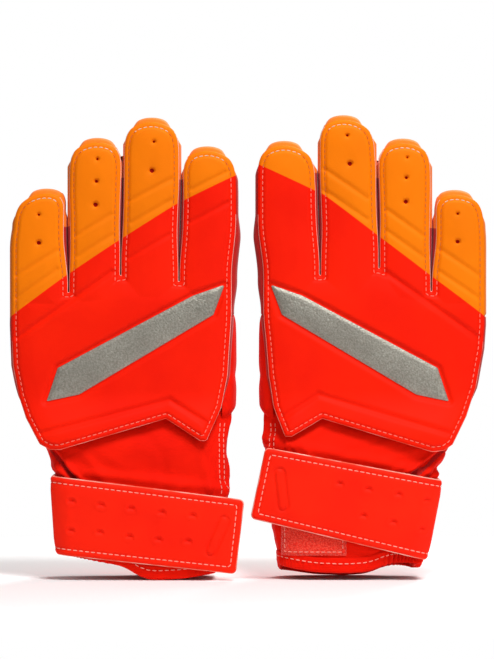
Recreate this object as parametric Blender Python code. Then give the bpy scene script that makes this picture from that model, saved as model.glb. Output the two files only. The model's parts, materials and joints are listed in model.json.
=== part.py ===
"""A pair of goalkeeper gloves, standing on their cuff hems with the fingers up.

Frame: metres, +X across the pair, +Y from the backs of the hands to the palms, +Z up along the
fingers. The origin lies on the floor, under the middle of the pair.

Each glove is drawn in its own hand coordinates and then placed, mirrored for the right hand:
across (towards the thumb), depth (towards the palm) and up.
"""

import math

import bmesh
import bpy
from mathutils import Matrix, Vector

MM = 0.001

# Driving dimensions, in millimetres.
HALF_SPACING = 72.2  # from the middle of the pair to the middle of each glove
DEPTH_SHIFT = 9.35  # the hand's mid plane lies this far in front of the origin
GAP = 0.3  # between pieces that touch
PANEL_GAP = 0.7  # between the hand sleeve and the panels that curve over it

BACK_PAD = 4.6  # thickness of the padded foam on the back
PALM_PAD = 4.0  # thickness of the palm latex
HAND_BACK = -10.8  # back face of the hand sleeve, where the back pads begin
HAND_PALM = 11.0  # palm face of the hand sleeve
HAND_WALL = 2.4

FINGER_PALM = 14.4  # palm face of the finger rolls
FINGER_WALL = 4.0
HINGE_DEPTH = 9.0  # the finger hinges lie this deep, near the palm face
KNUCKLE_WEDGE = math.radians(38.5)  # half the bend that the palm side leaves room for
MIDDLE_WEDGE = math.radians(41.0)

# Each finger: middle across, width, knuckle hinge, middle hinge and tip height.
FINGERS = {
    "little": (-50.6, 32.6, 179.0, 203.0, 229.0),
    "ring": (-16.9, 31.6, 189.0, 219.0, 259.0),
    "middle": (15.7, 32.4, 189.0, 221.0, 271.0),
    "index": (49.6, 33.2, 189.0, 217.0, 255.0),
}

WRIST_UP = 77.0  # the cuff ends and the hand sleeve begins
PALM_UP = 98.0  # above this the hand keeps its depth; below it deepens to the wrist
CUFF_HALF_DEPTH = 20.5
CUFF_WALL = 2.6
CUFF_FLARE_UP = 60.0  # above this the cuff widens to the hand
# The cuff's little-finger side: its reach at the hem, and how far it widens up to the flare
# and from there to the hand.
CUFF_LITTLE_SIDE = {"left": (35.5, 4.0, 6.5), "right": (28.5, 6.5, 11.0)}
CUFF_THUMB_SIDE = 57.6
HEM_UP = 9.0
HEM_PROUD = 0.4  # how far the hem stands out of the cuff
HEM_WALL = 3.8
HEM_MIDDLE = 18.0  # the hem is flat within HEM_FLAT of this place across, and rises beyond
HEM_FLAT = 26.0
HEM_RISE = 0.16
STRAP_THICK = 3.0
PATCH_THICK = 1.0
STRAP_HEIGHT = 43.0
STRAP_END = 68.5  # the tab's free end, on the thumb side
HOOK_HEIGHT = 27.0
LOOP_ACROSS = (14.0, 33.0, 52.0)
LOOP_UP = (14.5, 46.0)
TAB_FACE = -CUFF_HALF_DEPTH - 3.0 * GAP - 2.0 * PATCH_THICK - STRAP_THICK

# Each glove's strap lies at its own slant: rise of its middle line per unit across, its height
# at the middle of the glove, the place across of its fold, and the fold's lean in degrees.
STRAPS = {"left": (-0.116, 33.6, -41.0, 3.8), "right": (0.195, 42.4, -36.5, 11.0)}
WRAP_OUT = 1.4  # how far the strap bulges past its fold as it goes round the cuff

THUMB_LENGTH = 70.0
THUMB_WIDTH = 33.0
THUMB_DEPTH = 23.0
THUMB_TILT = math.radians(27.0)
THUMB_ROOT = (45.0, 105.0)  # across and up, of the middle of the thumb's open end
THUMB_FLOOR = HAND_PALM + PANEL_GAP + PALM_PAD + 1.5
THUMB_HINGE = (60.5, THUMB_FLOOR + THUMB_DEPTH / 2.0, 125.0)  # the seam that it opens about

SIDES = {"left": 1.0, "right": -1.0}

RED = (0.90, 0.026, 0.006, 1.0)
ORANGE = (0.93, 0.22, 0.004, 1.0)
CREAM = (0.78, 0.70, 0.56, 1.0)
SILVER = (0.37, 0.36, 0.30, 1.0)
DARK_RED = (0.30, 0.010, 0.006, 1.0)


def clear_scene():
    """Remove whatever the file opened with."""
    for item in list(bpy.data.objects):
        bpy.data.objects.remove(item, do_unlink=True)


def make_material(name, colour, roughness, metallic=0.0):
    """A plain Principled material."""
    material = bpy.data.materials.new(name)
    material.use_nodes = True
    shader = material.node_tree.nodes["Principled BSDF"]
    shader.inputs["Base Color"].default_value = colour
    shader.inputs["Roughness"].default_value = roughness
    shader.inputs["Metallic"].default_value = metallic
    return material


def to_world(side, point):
    """Hand coordinates in millimetres to the pair's frame in metres."""
    across, depth, up = point
    return Vector(
        (
            SIDES[side] * (across - HALF_SPACING) * MM,
            (depth - DEPTH_SHIFT) * MM,
            up * MM,
        )
    )


def loft(side, name, material, rings, looped=False, origin=(0.0, 0.0, 0.0)):
    """A closed solid through rings with the same number of points.

    A looped loft joins its last ring to its first, which makes a tube with a wall. An open one
    has its two end rings capped. The object's origin is set at the given hand coordinates.
    """
    mesh = bpy.data.meshes.new(name)
    shape = bmesh.new()
    place = to_world(side, origin)
    layers = []
    for ring in rings:
        layers.append([shape.verts.new(to_world(side, point) - place) for point in ring])
    pairs = list(zip(layers[:-1], layers[1:]))
    if looped:
        pairs.append((layers[-1], layers[0]))
    for low, high in pairs:
        count = len(low)
        for i in range(count):
            j = (i + 1) % count
            shape.faces.new((low[i], low[j], high[j], high[i]))
    if not looped:
        shape.faces.new(layers[0])
        shape.faces.new(layers[-1])
    bmesh.ops.triangulate(shape, faces=shape.faces[:])
    bmesh.ops.recalc_face_normals(shape, faces=shape.faces[:])
    shape.to_mesh(mesh)
    shape.free()
    mesh.shade_smooth()
    mesh.set_sharp_from_angle(angle=math.radians(40.0))
    mesh.materials.append(material)
    item = bpy.data.objects.new(name, mesh)
    item.location = place
    bpy.context.collection.objects.link(item)
    return item


def oval(middle, half_width, half_depth, middle_depth, count=20, squareness=2.8):
    """Points of a rounded oblong in across and depth, as (across, depth) pairs."""
    points = []
    for i in range(count):
        angle = 2.0 * math.pi * i / count
        c = math.cos(angle)
        s = math.sin(angle)
        across = middle + half_width * math.copysign(abs(c) ** (2.0 / squareness), c)
        depth = middle_depth + half_depth * math.copysign(abs(s) ** (2.0 / squareness), s)
        points.append((across, depth))
    return points


def wedge_drop(depth, angle):
    """How far a cut recedes from the hinge line at this depth, to leave room for the bend."""
    return max(0.0, depth - HINGE_DEPTH) * math.tan(angle)


def level(points, up, angle=0.0, sign=1.0):
    """Give a ring its height, receding from it on the palm side by the wedge."""
    return [(a, d, up + sign * wedge_drop(d, angle)) for a, d in points]


def tip_scale(share):
    """Width of a rounded fingertip, as a share of the finger's, along its last stretch."""
    return math.sqrt(max(0.0, 1.0 - share * share))


# ---------------------------------------------------------------- fingers


def finger_base(side, finger, materials):
    """The finger's first length: a sleeve that is open at both ends, and its back pad."""
    middle, width, knuckle, bend, _ = FINGERS[finger]
    name = f"{side}_{finger}"
    origin = (middle, HINGE_DEPTH, knuckle)
    centre = (HAND_BACK + FINGER_PALM) / 2.0
    half = (FINGER_PALM - HAND_BACK) / 2.0
    outer = oval(middle, width / 2.0, half, centre)
    inner = oval(middle, width / 2.0 - FINGER_WALL, half - FINGER_WALL, centre)
    low = knuckle + GAP
    high = bend - GAP
    rings = [
        level(outer, low, KNUCKLE_WEDGE),
        level(outer, high, MIDDLE_WEDGE, -1.0),
        level(inner, high, MIDDLE_WEDGE, -1.0),
        level(inner, low, KNUCKLE_WEDGE),
    ]
    loft(side, f"{name}_base_roll", materials["latex"], rings, looped=True, origin=origin)
    rings = [
        level(pad_section(middle, width), low),
        level(pad_section(middle, width), high),
    ]
    loft(side, f"{name}_base_pad", materials["orange"], rings, origin=origin)


def pad_section(middle, width, share=1.0):
    """Section across a finger's back pad: flat on the roll and crowned on the back."""
    half = width / 2.0 - 1.2
    inside = HAND_BACK - GAP
    points = [(middle + half * share, inside), (middle - half * share, inside)]
    steps = 6
    for i in range(steps + 1):
        angle = math.pi * (1.0 - i / steps)
        across = middle + half * share * math.cos(angle)
        crown = math.sin(angle) ** 0.5 if 0 < i < steps else 0.0
        points.append((across, inside - 1.6 - (BACK_PAD - 1.6) * crown * (0.4 + 0.6 * share)))
    return points


def finger_tip(side, finger, materials):
    """The finger's last length: a sleeve with a rounded closed end, and its back pad."""
    middle, width, _, bend, tip = FINGERS[finger]
    name = f"{side}_{finger}"
    origin = (middle, HINGE_DEPTH, bend)
    centre = (HAND_BACK + FINGER_PALM) / 2.0
    half = (FINGER_PALM - HAND_BACK) / 2.0
    low = bend + GAP
    dome = width * 0.5
    shares = (0.0, 0.45, 0.75, 0.93)
    inner_top = tip - FINGER_WALL - 1.0

    def outer_ring(share, up, angle=0.0):
        scale = tip_scale(share)
        ring = oval(middle, width / 2.0 * scale, half * (0.35 + 0.65 * scale), centre)
        return level(ring, up, angle)

    def inner_ring(share, up, angle=0.0):
        scale = tip_scale(share)
        wide = (width / 2.0 - FINGER_WALL) * scale
        ring = oval(middle, wide, (half - FINGER_WALL) * (0.4 + 0.6 * scale), centre)
        return level(ring, up, angle)

    outside = [outer_ring(0.0, low, MIDDLE_WEDGE)]
    outside += [outer_ring(s, tip - dome + dome * s) for s in shares]
    outside.append(outer_ring(0.985, tip))
    inside = [inner_ring(0.0, low, MIDDLE_WEDGE)]
    inside += [inner_ring(s, inner_top - dome + dome * s) for s in (0.0, 0.6, 0.9)]
    rings = list(reversed(inside)) + outside
    loft(side, f"{name}_tip_roll", materials["latex"], rings, origin=origin)

    pad_tip = tip - 3.0
    rings = [level(pad_section(middle, width), low)]
    for s in shares:
        rings.append(level(pad_section(middle, width, tip_scale(s)), pad_tip - dome + dome * s))
    loft(side, f"{name}_tip_pad", materials["orange"], rings, origin=origin)


# ---------------------------------------------------------------- hand


def knuckle_at(across):
    """Height of the knuckle line over this place across the hand."""
    return FINGERS["little"][2] if across < KNUCKLE_STEP else FINGERS["ring"][2]


HAND_HALF = 66.4  # half the hand's width over the palm
HAND_STATIONS = (
    -HAND_HALF, -64.5, -59.0, -47.0, -34.4, -33.0, -17.0, 0.0,
    17.0, 34.0, 47.0, 59.0, 64.5, HAND_HALF,
)  # places across where the hand's rings have a point; the knuckle line steps at -34
PANEL_STATIONS = HAND_STATIONS[1:-1]
KNUCKLE_STEP = -33.6  # the little finger's hinge is lower than the others' up to here
SIDE_ROUND = 14.0  # the hand's sides round off over this width
EVEN_UP = 150.0  # above this the hand keeps its width
NARROW_UP = 120.0  # below this the hand narrows to the wrist
WRIST_IN = (20.4, 4.4)  # by how much, on the little-finger side and the thumb side
PANEL_LOW = (
    (-66.0, 121.0),
    (-58.0, 99.0),
    (-46.0, 79.5),
    (-36.0, 77.5),
    (24.0, 94.0),
    (46.0, 80.5),
    (57.0, 97.0),
    (63.5, 130.0),
)  # the back panel's lower edge, as (across, up)
PALM_LOW = 84.0  # lowest point of the palm latex, and its rise at the sides
PALM_LOW_RISE = 36.0
EMBLEM_STATIONS = (-44.0, -30.0, -10.0, 12.0, 34.0, 48.0)
EMBLEM_UP = (122.0, 172.0)  # height of the bar's middle at its two ends
EMBLEM_HALF = 11.0
EMBLEM_POINT = 3.0
EMBLEM_THICK = 1.5


def hand_side(share, up):
    """Place across of a station of the hand, narrowing from the palm to the wrist."""
    narrow = max(0.0, min(1.0, (NARROW_UP - up) / (NARROW_UP - WRIST_UP)))
    low = -HAND_HALF + WRIST_IN[0] * narrow ** 1.4
    high = HAND_HALF - WRIST_IN[1] * narrow
    return low + (high - low) * (share + HAND_HALF) / (2.0 * HAND_HALF)


def hand_depths(share, up, inset):
    """Back and palm depths of the hand sleeve at a station, less an inset."""
    edge = min(1.0, (HAND_HALF - abs(share)) / SIDE_ROUND)
    bulge = 0.34 + 0.66 * math.sqrt(max(0.0, 1.0 - (1.0 - edge) ** 2))
    wrist = max(0.0, min(1.0, (PALM_UP - up) / (PALM_UP - WRIST_UP)))
    back = HAND_BACK - (CUFF_HALF_DEPTH + HAND_BACK) * wrist
    palm = HAND_PALM + (CUFF_HALF_DEPTH - HAND_PALM) * wrist
    middle = (back + palm) / 2.0
    half = ((palm - back) / 2.0 - inset) * bulge
    return middle - half, middle + half


def hand_ring(up, inset, at_knuckles=False):
    """A ring round the hand sleeve: along its back, then back along its palm."""
    back = []
    palm = []
    for station in HAND_STATIONS:
        share = station * (HAND_HALF - inset) / HAND_HALF
        height = knuckle_at(station) - GAP if at_knuckles else up
        across = hand_side(share, min(height, EVEN_UP))
        near, far = hand_depths(share, height, inset)
        back.append((across, near, height))
        drop = wedge_drop(far, KNUCKLE_WEDGE) if at_knuckles else 0.0
        palm.append((across, far, height - drop))
    return back + list(reversed(palm))


def hand_sleeve(side, materials):
    """The fabric body of the hand, a flat tube from the wrist to the knuckles."""
    heights = (WRIST_UP + GAP, 86.0, PALM_UP, NARROW_UP, EVEN_UP)
    outside = [hand_ring(up, 0.0) for up in heights] + [hand_ring(0.0, 0.0, True)]
    inside = [hand_ring(up, HAND_WALL) for up in heights] + [hand_ring(0.0, HAND_WALL, True)]
    rings = outside + list(reversed(inside))
    loft(side, f"{side}_hand_sleeve", materials["fabric"], rings, looped=True)


def panel_low(across):
    """Lower edge of the back panel: a lobe, a peak near the thumb and a second lobe."""
    for (a0, z0), (a1, z1) in zip(PANEL_LOW[:-1], PANEL_LOW[1:]):
        if across <= a1:
            return z0 + (z1 - z0) * max(0.0, (across - a0) / (a1 - a0))
    return PANEL_LOW[-1][1]


def palm_low(across):
    """Lower edge of the palm latex, an even curve across the heel of the hand."""
    return PALM_LOW + PALM_LOW_RISE * (abs(across) / HAND_HALF) ** 3


def sheet(side, name, material, stations, low, outward, inner, thickness, cut):
    """A padded sheet over one face of the hand, lofted across it.

    Each section is a rounded bar standing between the lower edge and the knuckle line.
    """
    rings = []
    last = len(stations) - 1
    for index, station in enumerate(stations):
        full = thickness * (0.55 if index in (0, last) else 1.0)
        bottom = low(station)
        top = knuckle_at(station) - GAP
        ring = []
        ups = (bottom, max(PALM_UP, bottom + 8.0), EVEN_UP, top)
        for up in ups:
            depth = inner(station, up)
            drop = wedge_drop(depth, cut) if up == top else 0.0
            ring.append((hand_side(station, min(up, EVEN_UP)), depth, up - drop))
        for row, up in reversed(list(enumerate(ups))):
            share = 0.6 if row == 0 else 1.0
            depth = inner(station, up) + outward * full * share
            drop = wedge_drop(depth, cut) if up == top else 0.0
            rise = 1.0 if row == 0 else 0.0
            ring.append((hand_side(station, min(up, EVEN_UP)), depth, up - drop + rise))
        rings.append(ring)
    return loft(side, name, material, rings)


def back_panel(side, materials):
    """The padded panel on the back of the hand."""
    sheet(
        side,
        f"{side}_back_panel",
        materials["red"],
        PANEL_STATIONS,
        panel_low,
        -1.0,
        lambda station, up: hand_depths(station, up, 0.0)[0] - PANEL_GAP,
        BACK_PAD,
        0.0,
    )


def palm_panel(side, materials):
    """The latex palm."""
    sheet(
        side,
        f"{side}_palm_panel",
        materials["latex"],
        PANEL_STATIONS,
        palm_low,
        1.0,
        lambda station, up: hand_depths(station, up, 0.0)[1] + PANEL_GAP,
        PALM_PAD,
        KNUCKLE_WEDGE,
    )


def emblem(side, materials):
    """A straight silver bar with pointed ends, set slantwise on the back panel."""
    rings = []
    first = EMBLEM_STATIONS[0]
    last = EMBLEM_STATIONS[-1]
    for across in EMBLEM_STATIONS:
        share = (across - first) / (last - first)
        centre = EMBLEM_UP[0] + (EMBLEM_UP[1] - EMBLEM_UP[0]) * share
        half = EMBLEM_POINT if across in (first, last) else EMBLEM_HALF
        ring = []
        for lift, edge in ((GAP, 0.0), (EMBLEM_THICK, 1.0)):
            reach = half - edge
            row = []
            for up in (centre - reach, centre, centre + reach):
                depth = hand_depths(across, up, 0.0)[0] - PANEL_GAP - BACK_PAD - lift
                row.append((hand_side(across, up), depth, up))
            ring += row if edge == 0.0 else list(reversed(row))
        rings.append(ring)
    loft(side, f"{side}_emblem", materials["silver"], rings)


# ---------------------------------------------------------------- thumb


def thumb(side, materials):
    """The thumb's sleeve and back pad, folded behind the palm and slanting across it."""
    root_across, root_up = THUMB_ROOT
    origin = THUMB_HINGE
    half = THUMB_DEPTH / 2.0
    turn = Matrix.Rotation(-THUMB_TILT, 3, "Y")

    def ring(points, up):
        result = []
        for across, depth in points:
            moved = turn @ Vector((across, 0.0, up))
            result.append((root_across + moved.x, THUMB_FLOOR + half + depth, root_up + moved.z))
        return result

    dome = THUMB_WIDTH * 0.5
    wide = THUMB_WIDTH / 2.0
    outside = [ring(oval(0.0, wide, half, 0.0), 0.0)]
    for share in (0.0, 0.5, 0.8, 0.97):
        scale = tip_scale(share)
        points = oval(0.0, wide * scale, half * (0.35 + 0.65 * scale), 0.0)
        outside.append(ring(points, THUMB_LENGTH - dome + dome * share))
    inner_wide = wide - FINGER_WALL
    inner_half = half - FINGER_WALL
    inner_top = THUMB_LENGTH - FINGER_WALL - 1.0
    inside = [ring(oval(0.0, inner_wide, inner_half, 0.0), 0.0)]
    for share in (0.0, 0.6, 0.9):
        scale = tip_scale(share)
        points = oval(0.0, inner_wide * scale, inner_half * (0.4 + 0.6 * scale), 0.0)
        inside.append(ring(points, inner_top - dome + dome * share))
    rings = list(reversed(inside)) + outside
    loft(side, f"{side}_thumb_roll", materials["latex"], rings, origin=origin)

    stretches = (
        (6.0, 0.3),
        (14.0, 0.0),
        (THUMB_LENGTH - dome - 3.0, 0.0),
        (THUMB_LENGTH - 11.0, 0.6),
        (THUMB_LENGTH - 4.0, 0.9),
    )
    rings = []
    for up, share in stretches:
        section = pad_section(0.0, THUMB_WIDTH, tip_scale(share))
        points = [(a, half + GAP + (HAND_BACK - GAP - d)) for a, d in section]
        rings.append(ring(points, up))
    loft(side, f"{side}_thumb_pad", materials["red"], rings, origin=origin)


# ---------------------------------------------------------------- cuff and strap


def cuff_sides(side, up):
    """The cuff's two sides across, at this height: it narrows towards the hem."""
    at_hem, widening, flaring = CUFF_LITTLE_SIDE[side]
    flare = max(0.0, up - CUFF_FLARE_UP) / (WRIST_UP - CUFF_FLARE_UP)
    low = -at_hem - widening * min(1.0, up / CUFF_FLARE_UP) - flaring * flare
    high = CUFF_THUMB_SIDE + WRIST_IN[1] * up / WRIST_UP
    return low, high


def cuff_outline(side, up, grow, count=28):
    """A rounded oblong round the cuff, grown outwards, as (across, depth) pairs."""
    low, high = cuff_sides(side, up)
    half_width = (high - low) / 2.0 + grow
    return oval((low + high) / 2.0, half_width, CUFF_HALF_DEPTH + grow, 0.0, count, 3.4)


def cuff(side, materials):
    """The elastic wrist sleeve."""
    heights = (HEM_UP + GAP, 35.0, CUFF_FLARE_UP, WRIST_UP)
    rings = [level(cuff_outline(side, up, 0.0), up) for up in heights]
    rings += [level(cuff_outline(side, up, -CUFF_WALL), up) for up in reversed(heights)]
    loft(side, f"{side}_cuff", materials["fabric"], rings, looped=True)


def hem(side, materials):
    """The cuff's bound edge: flat in the middle, where the glove stands, and rising at its sides."""

    def ring(height, grow):
        result = []
        for across, depth in cuff_outline(side, height, grow):
            rise = 0.0
            if height == 0.0:
                rise = HEM_RISE * max(0.0, abs(across - HEM_MIDDLE) - HEM_FLAT)
            result.append((across, depth, height + rise))
        return result

    rings = [
        ring(0.0, HEM_PROUD),
        ring(HEM_UP, HEM_PROUD),
        ring(HEM_UP, HEM_PROUD - HEM_WALL),
        ring(0.0, HEM_PROUD - HEM_WALL),
    ]
    loft(side, f"{side}_hem", materials["red"], rings, looped=True)


def strap_lean(side, along):
    """Lean of the strap's sections: that of the fold, turning to square across its free end."""
    slope, _, fold, lean = STRAPS[side]
    square = math.atan(slope)
    share = max(0.0, min(1.0, along / (STRAP_END - fold)))
    return math.radians(lean) + (square - math.radians(lean)) * share


def strap_section(side, along, face, inward=(0.0, 1.0), height=STRAP_HEIGHT, thickness=STRAP_THICK):
    """A section across the strap at a distance along from the fold.

    The face is the depth of the strap's outer side, and inward points from there into it, as
    (across, depth).
    """
    slope, rise, fold, _ = STRAPS[side]
    slant = math.atan(slope)
    lean = strap_lean(side, along)
    middle = (fold + along * math.cos(slant), rise + slope * fold + along * math.sin(slant))
    section = []
    edge = min(0.6, thickness / 3.0)
    for reach, deep in ((-1, 0.0), (1, 0.0), (1, 1.0), (-1, 1.0)):
        off = reach * (height / 2.0 - (edge if deep == 0.0 else 0.0))
        section.append(
            (
                middle[0] - off * math.sin(lean) + inward[0] * thickness * deep,
                face + inward[1] * thickness * deep,
                middle[1] + off * math.cos(lean),
            )
        )
    return section


def strap_origin(side):
    """The middle of the fold that the tab peels about."""
    slope, rise, fold, _ = STRAPS[side]
    return (fold, TAB_FACE, rise + slope * fold)


def strap_tab(side, materials):
    """The strap's free tab, and the hook patch on its inside."""
    origin = strap_origin(side)
    length = STRAP_END - STRAPS[side][2]
    rings = [strap_section(side, GAP + (length - GAP) * i / 5, TAB_FACE) for i in range(6)]
    loft(side, f"{side}_strap_tab", materials["red"], rings, origin=origin)
    face = TAB_FACE + STRAP_THICK + GAP
    rings = [
        strap_section(side, length - reach, face, height=HOOK_HEIGHT, thickness=PATCH_THICK)
        for reach in (48.0, 28.0, 8.0)
    ]
    loft(side, f"{side}_hook_patch", materials["hook"], rings, origin=origin)


def strap_wrap(side, materials):
    """The part of the strap that is sewn round the cuff: from the fold, round the little-finger
    side and across the palm side."""
    palm_face = CUFF_HALF_DEPTH + GAP + STRAP_THICK
    rings = [
        strap_section(side, -GAP, TAB_FACE),
        strap_section(side, -0.7 * WRAP_OUT, TAB_FACE + 5.0, (0.9, 0.4)),
        strap_section(side, -WRAP_OUT, TAB_FACE + 14.0, (1.0, 0.1)),
        strap_section(side, -WRAP_OUT, 8.0, (1.0, 0.0)),
        strap_section(side, -0.7 * WRAP_OUT, palm_face - 5.0, (0.9, -0.4)),
        strap_section(side, 4.0, palm_face, (0.0, -1.0)),
        strap_section(side, 40.0, palm_face, (0.0, -1.0)),
        strap_section(side, 92.0, palm_face, (0.0, -1.0)),
    ]
    loft(side, f"{side}_strap_wrap", materials["red"], rings)


def loop_patch(side, materials):
    """The loop patch on the back of the cuff, which the tab's hooks hold on to."""
    face = -CUFF_HALF_DEPTH - GAP - PATCH_THICK
    low, high = LOOP_UP
    rings = []
    for across in LOOP_ACROSS:
        rings.append(
            [
                (across, face, low + 0.3),
                (across, face, high - 0.3),
                (across, face + PATCH_THICK, high),
                (across, face + PATCH_THICK, low),
            ]
        )
    loft(side, f"{side}_loop_patch", materials["loop"], rings)


def glove(side, materials):
    """All the pieces of one glove."""
    hand_sleeve(side, materials)
    back_panel(side, materials)
    emblem(side, materials)
    palm_panel(side, materials)
    for finger in FINGERS:
        finger_base(side, finger, materials)
        finger_tip(side, finger, materials)
    thumb(side, materials)
    cuff(side, materials)
    hem(side, materials)
    loop_patch(side, materials)
    strap_wrap(side, materials)
    strap_tab(side, materials)


def main():
    clear_scene()
    materials = {
        "red": make_material("red_latex", RED, 0.55),
        "orange": make_material("orange_latex", ORANGE, 0.55),
        "latex": make_material("cream_latex", CREAM, 0.8),
        "fabric": make_material("red_fabric", RED, 0.75),
        "silver": make_material("silver_inlay", SILVER, 0.4, 0.6),
        "loop": make_material("loop_fabric", RED, 0.9),
        "hook": make_material("hook_tape", DARK_RED, 0.7),
    }
    for side in SIDES:
        glove(side, materials)


main()
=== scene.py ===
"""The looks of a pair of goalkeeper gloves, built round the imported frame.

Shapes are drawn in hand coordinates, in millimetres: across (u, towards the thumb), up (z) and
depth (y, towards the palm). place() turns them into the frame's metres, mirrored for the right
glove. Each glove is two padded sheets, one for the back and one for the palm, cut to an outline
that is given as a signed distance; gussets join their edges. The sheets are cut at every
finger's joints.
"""

import json
import math
import random
from functools import partial

import bpy
import numpy as np
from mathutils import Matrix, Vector


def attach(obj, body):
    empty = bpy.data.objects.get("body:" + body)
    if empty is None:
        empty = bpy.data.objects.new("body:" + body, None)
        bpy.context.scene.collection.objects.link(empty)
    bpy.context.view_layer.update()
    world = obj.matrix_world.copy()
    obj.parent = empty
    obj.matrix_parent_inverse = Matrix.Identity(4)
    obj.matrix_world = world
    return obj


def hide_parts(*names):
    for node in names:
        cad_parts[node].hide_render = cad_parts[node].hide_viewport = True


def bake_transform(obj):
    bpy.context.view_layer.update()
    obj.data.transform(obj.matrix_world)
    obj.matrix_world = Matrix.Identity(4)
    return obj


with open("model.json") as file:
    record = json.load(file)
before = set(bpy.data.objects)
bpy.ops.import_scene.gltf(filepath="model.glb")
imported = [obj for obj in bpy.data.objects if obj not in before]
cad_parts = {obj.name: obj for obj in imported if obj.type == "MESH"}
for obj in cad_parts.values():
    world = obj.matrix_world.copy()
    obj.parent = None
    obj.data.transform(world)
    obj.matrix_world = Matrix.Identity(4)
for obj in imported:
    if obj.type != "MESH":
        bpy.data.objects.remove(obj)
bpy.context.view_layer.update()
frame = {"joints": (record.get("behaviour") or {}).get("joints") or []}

MM = 0.001
SIDES = {"left": 1.0, "right": -1.0}
FINGER_NAMES = ("little", "ring", "middle", "index")

# ------------------------------------------------------------------ driving dimensions, mm

# The lens: its distance, the height it takes in and how far in front of the pair's middle that
# height is measured, its place across and up, and its sensor's height.
LENS_DISTANCE = 1900.0
VIEW_HEIGHT = 388.81
VIEW_PLANE = 20.0
LENS_PLACE = (-0.4, 147.2)
SENSOR = 36.0

HALF_SPACING = 72.2
DEPTH_SHIFT = 9.35

SLEEVE_BACK = -10.8
PAD_THICK = 4.9
PALM_FACE = 14.6
STITCH_IN = 3.0
# Radius of a fingertip's cap, and how softly it meets the finger's sides.
CAP_RADIUS = 21.0
CAP_ROUND = 5.5
# A box round the hand's sheets, as its lower and upper corners.
HAND_BOX = ((-70.0, 72.0), (70.0, 276.0))

# Per glove, from the little finger to the thumb side: the slits' feet, the fingertips' heights and
# middles, and how far the first and last finger reach across; then the outline of the hand below
# the fingers, the border between the two colours, and the hem's height by place across.
SHAPES = {
    "left": {
        "slits": ((-33.4, 169.3), (-2.7, 179.4), (31.7, 175.8)),
        "tips": (227.6, 257.6, 269.6, 252.6),
        "tip_middles": (-46.7, -16.6, 15.5, 48.3),
        "sides": (-66.9, 65.2),
        "hand": (
            (-66.9, 171.0), (-67.3, 150.0), (-66.4, 126.0), (-62.9, 108.0), (-58.4, 95.0), (-50.0, 79.8),
            (-44.0, 76.6), (-38.0, 76.4), (24.1, 94.6), (44.4, 81.6), (48.2, 81.8), (56.8, 101.0),
            (60.6, 120.0), (61.7, 138.0), (62.7, 153.0), (62.9, 176.0),
            (31.7, 175.8), (-2.7, 179.4), (-33.4, 169.3),
        ),
        "border": ((-70.0, 153.0), (-36.0, 178.2), (-4.0, 199.6), (30.6, 221.4), (70.0, 240.5)),
        "hem_low": (
            (-34.0, 14.5), (-14.0, 10.6), (0.0, 8.0), (9.0, 1.6),
            (16.0, 0.0), (34.0, 0.8), (52.0, 3.6), (60.0, 5.0),
        ),
    },
    "right": {
        "slits": ((-36.0, 169.9), (-5.3, 183.6), (29.5, 179.4)),
        "tips": (226.8, 257.2, 271.0, 255.8),
        "tip_middles": (-50.3, -19.6, 15.5, 50.6),
        "sides": (-67.4, 66.1),
        "hand": (
            (-67.4, 171.0), (-67.6, 150.0), (-66.6, 136.0), (-62.5, 113.0), (-56.6, 96.0), (-48.2, 79.6),
            (-43.0, 76.0), (-36.0, 75.2), (28.3, 94.6), (46.2, 84.2), (50.4, 84.2), (57.0, 101.0),
            (60.0, 120.0), (61.4, 138.0), (62.9, 153.0), (63.1, 180.0),
            (29.5, 179.4), (-5.3, 183.6), (-36.0, 169.9),
        ),
        "border": ((-70.0, 153.2), (-36.5, 178.4), (-4.6, 202.6), (27.0, 226.5), (70.0, 246.5)),
        "hem_low": (
            (-29.0, 9.0), (-18.0, 10.5), (-10.0, 9.6), (0.6, 5.0),
            (13.6, 4.0), (32.0, 4.6), (45.0, 6.6), (56.0, 8.6),
        ),
    },
}


def joint(name):
    """A joint of the frame by name."""
    return next(j for j in frame["joints"] if j["name"] == name)


def hinge_up(side, finger, which):
    """The height of a finger's hinge, in mm."""
    return joint(f"{side}_{finger}_{which}")["pos_m"][2] / MM


def place(side, points):
    """Hand coordinates (u, y, z) in mm to the frame's metres."""
    points = np.asarray(points, float)
    out = np.empty_like(points)
    out[:, 0] = SIDES[side] * (points[:, 0] - HALF_SPACING) * MM
    out[:, 1] = (points[:, 1] - DEPTH_SHIFT) * MM
    out[:, 2] = points[:, 2] * MM
    return out


# ------------------------------------------------------------------ camera


def make_camera():
    """A long lens level with the middle of the pair, so that the backs of the hands fill the frame."""
    data = bpy.data.cameras.new("camera")
    data.sensor_fit = "VERTICAL"
    data.sensor_height = SENSOR
    data.lens = SENSOR * (LENS_DISTANCE - VIEW_PLANE) / VIEW_HEIGHT
    camera = bpy.data.objects.new("camera", data)
    across, up = LENS_PLACE
    camera.location = (across * MM, -LENS_DISTANCE * MM, up * MM)
    camera.rotation_euler = (math.radians(90.0), 0.0, 0.0)
    bpy.context.collection.objects.link(camera)
    bpy.context.scene.camera = camera


make_camera()

# ------------------------------------------------------------------ small maths


def smooth(x, low, high):
    """Smooth step from 0 at low to 1 at high."""
    t = np.clip((np.asarray(x, float) - low) / (high - low), 0.0, 1.0)
    return t * t * (3.0 - 2.0 * t)


def falling(x, low, high):
    """Smooth step from 1 at low to 0 at high."""
    return smooth(-np.asarray(x, float), -high, -low)


def bell(x, width):
    """A bell of height 1 round 0."""
    return np.exp(-((x / width) ** 2))


def soft_max(a, b, k):
    """The larger of two distances, rounded where they meet."""
    h = np.clip(0.5 + 0.5 * (a - b) / k, 0.0, 1.0)
    return b + (a - b) * h + k * h * (1.0 - h)


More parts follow.
